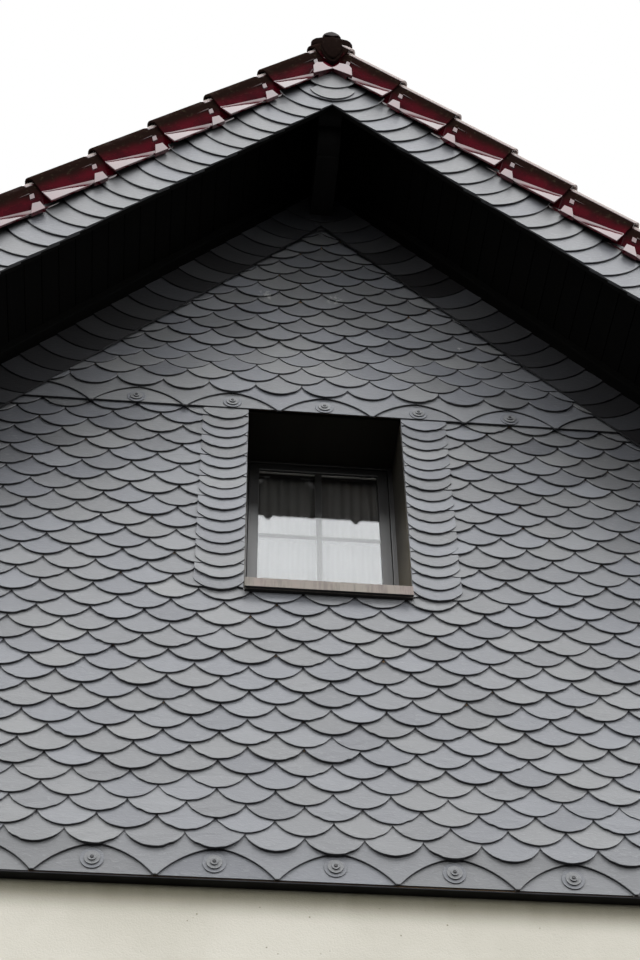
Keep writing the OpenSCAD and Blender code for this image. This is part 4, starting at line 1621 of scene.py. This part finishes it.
    def ridge(self) -> None:
        """Dress the ridge tiles and model the shaped plate that ends them."""
        tiles = Piece.of_node("ridge_tiles")
        with tiles.edit():
            tiles.pick(Elements.VERTS, lambda p: p.y < self.ridge_front + 0.09)
            bpy.ops.transform.resize(value=(0.84, 1, 0.54), center_override=(0, 0, self.ridge_z))
        tiles.rounded(0.003).smooth().mark("age_and_highlight", 0.85)
        tiles.finish("ridge_tiles_rounded", Finish.RIDGE, ["ridge_tiles"])
        parts = []
        for half, out, depth, edge_r in ((self.cap, 0.013, 0.017, 0.0035),
                                         (self.boss, 0.024, 0.014, 0.006),
                                         (self.crown, 0.021, 0.010, 0.004)):
            points = [(x, self.ridge_front - out, z) for x, z in half]
            points += [(-x, y, z) for x, y, z in reversed(points[1:-1])]
            plate = Piece.outline(points).thicken(depth)
            parts.append(plate.rounded(edge_r, 3, 40.0).smooth(60.0))
        whole = Piece.joined(parts)
        whole.mark("age_and_highlight", lambda face: 1.0 if face.center.z < self.ridge_z + 0.03 else 0.75)
        whole.finish("ridge_end_shaped", Finish.RIDGE, ["ridge_end_cap"])

    def boards(self, outer: float, low: float, high: float, y0: float, y1: float, width: float,
               seed: int) -> Piece:
        """Lay boards along the building on both slopes.

        Args:
            outer: Distance of the last board's outer edge from the middle.
            low: Height of their underside across the slope.
            high: Height of their upper face.
            y0: Front end.
            y1: Rear end.
            width: Width of one board.
            seed: Seed of their tones.

        Returns:
            The boards.
        """
        dice = random.Random(seed)
        start = low * math.tan(FACADE.pitch)
        end = outer / math.cos(FACADE.pitch) - start
        board = Piece.block((0, y0, low), (width - 0.002, y1, high)).rounded(0.002, 1)
        laid = []
        for side, _ in SIDES:
            row = []
            while start + len(row) * width < end + high:
                step = Matrix.Translation((start + len(row) * width, 0, 0))
                row.append(board.copy(FACADE.on_slope(side) @ step, dice.uniform(0.2, 0.8)))
            laid.append(Piece.joined(row).trim(0.0, -side).trim(side * outer, side))
        board.discard()
        return Piece.joined(laid)

    def timber(self) -> None:
        """Board the slopes and the soffits, and dress the frame's timbers."""
        soffit = self.boards(self.rafter_end, 0.001, 0.018, -0.567, 0.046, 0.096, 12)
        nodes = pair("soffit")
        seam = (0, 0, FACADE.meeting_z(-0.0005))
        trims = Piece.joined([Piece.of_node(node).cut(seam, FACADE.across(side))
                              for node, (side, _) in zip(nodes, SIDES)]).rounded(0.003)
        Piece.joined([soffit, trims]).finish("soffit_boards", Finish.SOFFIT, nodes)
        deck = self.boards(self.deck_half, 0.151, 0.172, self.barge_y, FACADE.depth, 0.140, 13)
        deck.finish("roof_boards", Finish.RAW_WOOD, pair("roof_boarding"))
        ease(["ridge_purlin"], Finish.DARK_WOOD, 0.004, "_dressed")
        ease(pair("wall_plate"), Finish.RAW_WOOD, 0.004, "_dressed")
        ease([*pair("rafters"), "collar_ties"], Finish.RAW_WOOD, 0.003, "_dressed")
        ease(pair("bargeboard"), Finish.SOFFIT, 0.003, "_dressed")
        ease(pair("fascia"), Finish.DARK_WOOD, 0.003, "_dressed")
        battens = Piece.of_node("roof_battens")
        battens.shift(lambda p: p.z > self.ridge_z + 0.06 and p.y < -0.3, (0, 0, -0.055))
        battens.finish("battens_dressed", Finish.RAW_WOOD, ["roof_battens"])

    def barge_slates(self) -> None:
        """Hang the slates of the bargeboards, and the two that close the apex."""
        strip = StripSlates(radius=0.208, spacing=self.barge_spacing, width=0.250, length=0.175,
                            thick=0.0080, foot_over=-self.barge_drop,
                            face_y=self.barge_y - 0.0115, seed=31, tone=0.28)
        parts = []
        for side, _ in SIDES:
            half = strip.lay(0.818 + 18 * self.barge_spacing, -0.12, side)
            parts.append(half.trim(side * 0.0005, -side).trim(side * self.deck_half, side))
        for tail_z, radius, y, top in ((4.440, 0.130, -0.0265, 4.66),
                                       (4.352, 0.112, -0.0205, 4.56)):
            disc = Piece.disc((0, self.barge_y + y, tail_z + radius), radius, 56)
            disc.cut((0, 0, tail_z + radius * 0.75), (0, 0, 1))
            height = max(v.co.z for v in disc.obj.data.vertices)
            with disc.edit():
                disc.pick(Elements.EDGES, lambda p, height=height: p.z > height - 0.0005)
                disc.extrude((0, 0, top - height))
            disc.thicken(0.006)
            for side, _ in SIDES:
                disc.cut((0, 0, top - 0.02), FACADE.across(side), True)
            disc.mark("tone", 0.6)
            parts.append(disc.modify("BEVEL", {"width": 0.0012, "segments": 1,
                                               "limit_method": "ANGLE"}))
        backing = Piece.of_node("barge_slates")
        backing.shift(lambda p: p.y < self.barge_y - 0.004, (0, 0.0065, 0)).mark("tone", 0.2)
        whole = Piece.joined([*parts, backing])
        whole.finish("barge_strip_slates", Finish.BARGE_SLATE, ["barge_slates"])

    def build(self) -> None:
        """Build the whole roof."""
        self.timber()
        self.barge_slates()
        self.verges()
        self.field_tiles()
        self.ridge()


# ---------------------------------------------------------------- window


@dataclass
class Window:
    """The window, its reveal and its net."""

    rod_y: float = 0.368
    rod_z: float = 2.738
    net_foot: float = 1.812
    net_head: float = 0.044  # how far the net stands over the rod's middle
    half: float = 0.319
    depth: float = 0.0045  # of the main folds
    folds: int = 15
    rows: int = 24
    edge_r: float = 0.002

    def net(self) -> None:
        """Model the hanging net: a thin cloth in soft folds, as wide as the opening."""
        steps = self.folds * 8
        points = []
        for step in range(steps + 1):
            turn = 2 * math.pi * step / steps
            wave = math.sin(turn * self.folds) + 0.3 * math.sin(turn * 4.3)
            points.append((-self.half + 2 * self.half * step / steps,
                           self.rod_y - 0.014 + self.depth * wave, self.net_foot))
        reach = [0.0]
        for last, point in zip(points, points[1:]):
            reach.append(reach[-1] + math.dist(last, point))
        height = self.rod_z + self.net_head - self.net_foot
        cloth = Piece.outline(points, filled=False)
        with cloth.edit(everything=True):
            for _ in range(self.rows):
                cloth.extrude((0, 0, height / self.rows))
        sheet = cloth.obj.data
        layer = sheet.uv_layers.new(name="cloth")
        for loop in sheet.loops:
            spot = sheet.vertices[loop.vertex_index].co
            number = round((spot.x + self.half) / (2 * self.half) * steps)
            layer.data[loop.index].uv = (reach[number], spot.z - self.net_foot)
        net = cloth.smooth(80.0).finish("net_curtain_cloth", Finish.NET, ["net_curtain"])
        LOG.info("net: flat width %.3f m, height %.3f m", reach[-1], height)

    def build(self) -> None:
        """Dress the window's own pieces, with eased edges, and hang the net."""
        ease(["window_frame", "window_sash"], Finish.WINDOW, self.edge_r, "_eased")
        ease(["window_sill"], Finish.SILL, self.edge_r, "_eased")
        ease(["head_lining", *pair("jamb_lining")], Finish.LINING, self.edge_r, "_eased")
        _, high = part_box("window_glass")
        y = high.y + FACADE.origin_y
        for side, name in SIDES:
            x0, x1 = sorted((side * 0.016, side * (high.x - 0.008)))
            bead = Piece.block((x0, y + 0.0002, high.z - 0.012), (x1, y + 0.008, high.z - 0.006))
            bead.rounded(0.0015).finish(f"glass_bead_{name}", Finish.BEAD)
        dress(["window_glass"], Finish.GLASS)
        dress(["curtain_rod"], Finish.ROD)
        self.net()


# ---------------------------------------------------------------- studio


@dataclass(frozen=True)
class Studio:
    """The camera at the photograph's place, a soft light from above and a pale floor."""

    eye: Point = (-0.54506, -5.52331, -2.68412)
    yaw: float = math.radians(6.2273)
    pitch: float = math.radians(46.6129)
    roll: float = math.radians(1.0403)
    focal_px: float = 1695.04
    image_h: int = 960
    sensor: float = 36.0
    lamp_size: tuple[float, float] = (7.0, 5.0)
    lamp_at: Point = (0.9, -0.6, 10.0)
    lamp_watts: float = 210.0
    sky_strength: float = 4.8
    # Levels of the sky by height, from 0 straight down over 0.5 at the horizon to 1 straight up.
    front_sky: tuple[tuple[float, float], ...] = (
        (0.0, 0.010), (0.485, 0.012), (0.51, 0.38), (0.70, 0.38), (0.73, 0.015), (0.816, 0.015),
        (0.829, 0.85), (0.945, 0.95), (0.958, 0.62), (1.0, 0.62))
    side_sky: tuple[tuple[float, float], ...] = (
        (0.0, 0.010), (0.485, 0.012), (0.51, 0.72), (0.75, 0.72), (0.829, 0.85), (0.945, 0.95),
        (0.958, 0.62), (1.0, 0.62))

    def camera(self) -> None:
        """Set up the camera."""
        forward = Vector((math.sin(self.yaw) * math.cos(self.pitch),
                          math.cos(self.yaw) * math.cos(self.pitch), math.sin(self.pitch)))
        right = Vector((math.cos(self.yaw), -math.sin(self.yaw), 0))
        down = forward.cross(right)
        across = math.cos(self.roll) * right + math.sin(self.roll) * down
        below = -math.sin(self.roll) * right + math.cos(self.roll) * down
        data = bpy.data.cameras.new("camera")
        data.sensor_fit = "VERTICAL"
        data.sensor_height = self.sensor
        data.lens = self.focal_px / self.image_h * self.sensor
        camera = bpy.data.objects.new("camera", data)
        turn = Matrix((across, -below, -forward)).transposed().to_4x4()
        camera.matrix_world = Matrix.Translation(self.eye) @ turn
        bpy.context.scene.collection.objects.link(camera)
        bpy.context.scene.camera = camera

    def lamp(self) -> None:
        """Hang one wide soft lamp above."""
        data = bpy.data.lights.new("overhead", "AREA")
        data.shape = "RECTANGLE"
        data.size, data.size_y = self.lamp_size
        data.energy = self.lamp_watts
        lamp = bpy.data.objects.new("overhead", data)
        lamp.location = self.lamp_at
        lamp.visible_glossy = False
        bpy.context.scene.collection.objects.link(lamp)

    def world(self) -> None:
        """Light the scene from a sky that is dark in front, high up, and white to the camera."""
        world = bpy.data.worlds.new("sky")
        bpy.context.scene.world = world
        g = Graph(world)
        towards = g.node("TexCoord", output="Generated")
        height = g.node("MapRange", {}, {"Value": g.axis(towards, "Z"), "From Min": -1.0})
        aside = g.axis(towards, "X").compute("ABSOLUTE")
        aside = g.node("MapRange", {}, {"Value": aside, "From Min": 0.41, "From Max": 0.52})
        sky = g.mix(aside, g.ramp(height, self.front_sky), g.ramp(height, self.side_sky))
        light = g.node("Background", {}, {"Color": sky, "Strength": self.sky_strength})
        white = g.node("Background", {}, {"Color": (1.0, 1.0, 1.0)})
        path = g.node("LightPath", output="Is Camera Ray")
        g.close(g.node("MixShader", {}, {0: path, 1: light, 2: white}), "OutputWorld")

    def floor(self) -> None:
        """Lay a pale floor that can't be seen from below."""
        Piece.nothing_selected()
        bpy.ops.mesh.primitive_plane_add(size=60, location=(0, 0, 0))
        floor = bpy.context.object
        floor.name = "floor"
        g = Graph.of_material("floor")
        path = g.node("LightPath", output="Is Camera Ray")
        cloud = g.noise(g.place(), 0.4, 2.0)
        pale = g.mix(cloud, (0.27, 0.27, 0.268), (0.285, 0.285, 0.282))
        matt = g.node("BsdfDiffuse", {}, {"Color": g.mix(path, (0.03, 0.03, 0.03), pale)})
        back = g.node("NewGeometry", output="Backfacing")
        g.close(g.node("MixShader", {}, {0: back, 1: matt, 2: g.node("BsdfTransparent")}))
        floor.data.materials.append(g.owner)

    def build(self) -> None:
        """Set the stage."""
        self.camera()
        self.lamp()
        self.world()
        self.floor()
        bpy.context.scene.view_settings.view_transform = "Standard"


def main() -> None:
    """Build the looks, one sub-assembly after the other."""
    logging.basicConfig(level=logging.INFO, format="%(name)s %(message)s")
    Studio().build()
    dress(["front_wall_below", "front_wall_left", "front_wall_right", "front_wall_gable",
           *pair("cheek_wall")], Finish.RENDER)
    dress(["front_boarding", *pair("cheek_boarding")], Finish.RAW_WOOD)
    dress(["drip_edge"], Finish.DRIP)
    Window().build()
    Roof().build()
    slates = SlateHanging()
    slates.front()
    slates.cheeks()


if __name__ == "__main__":
    main()
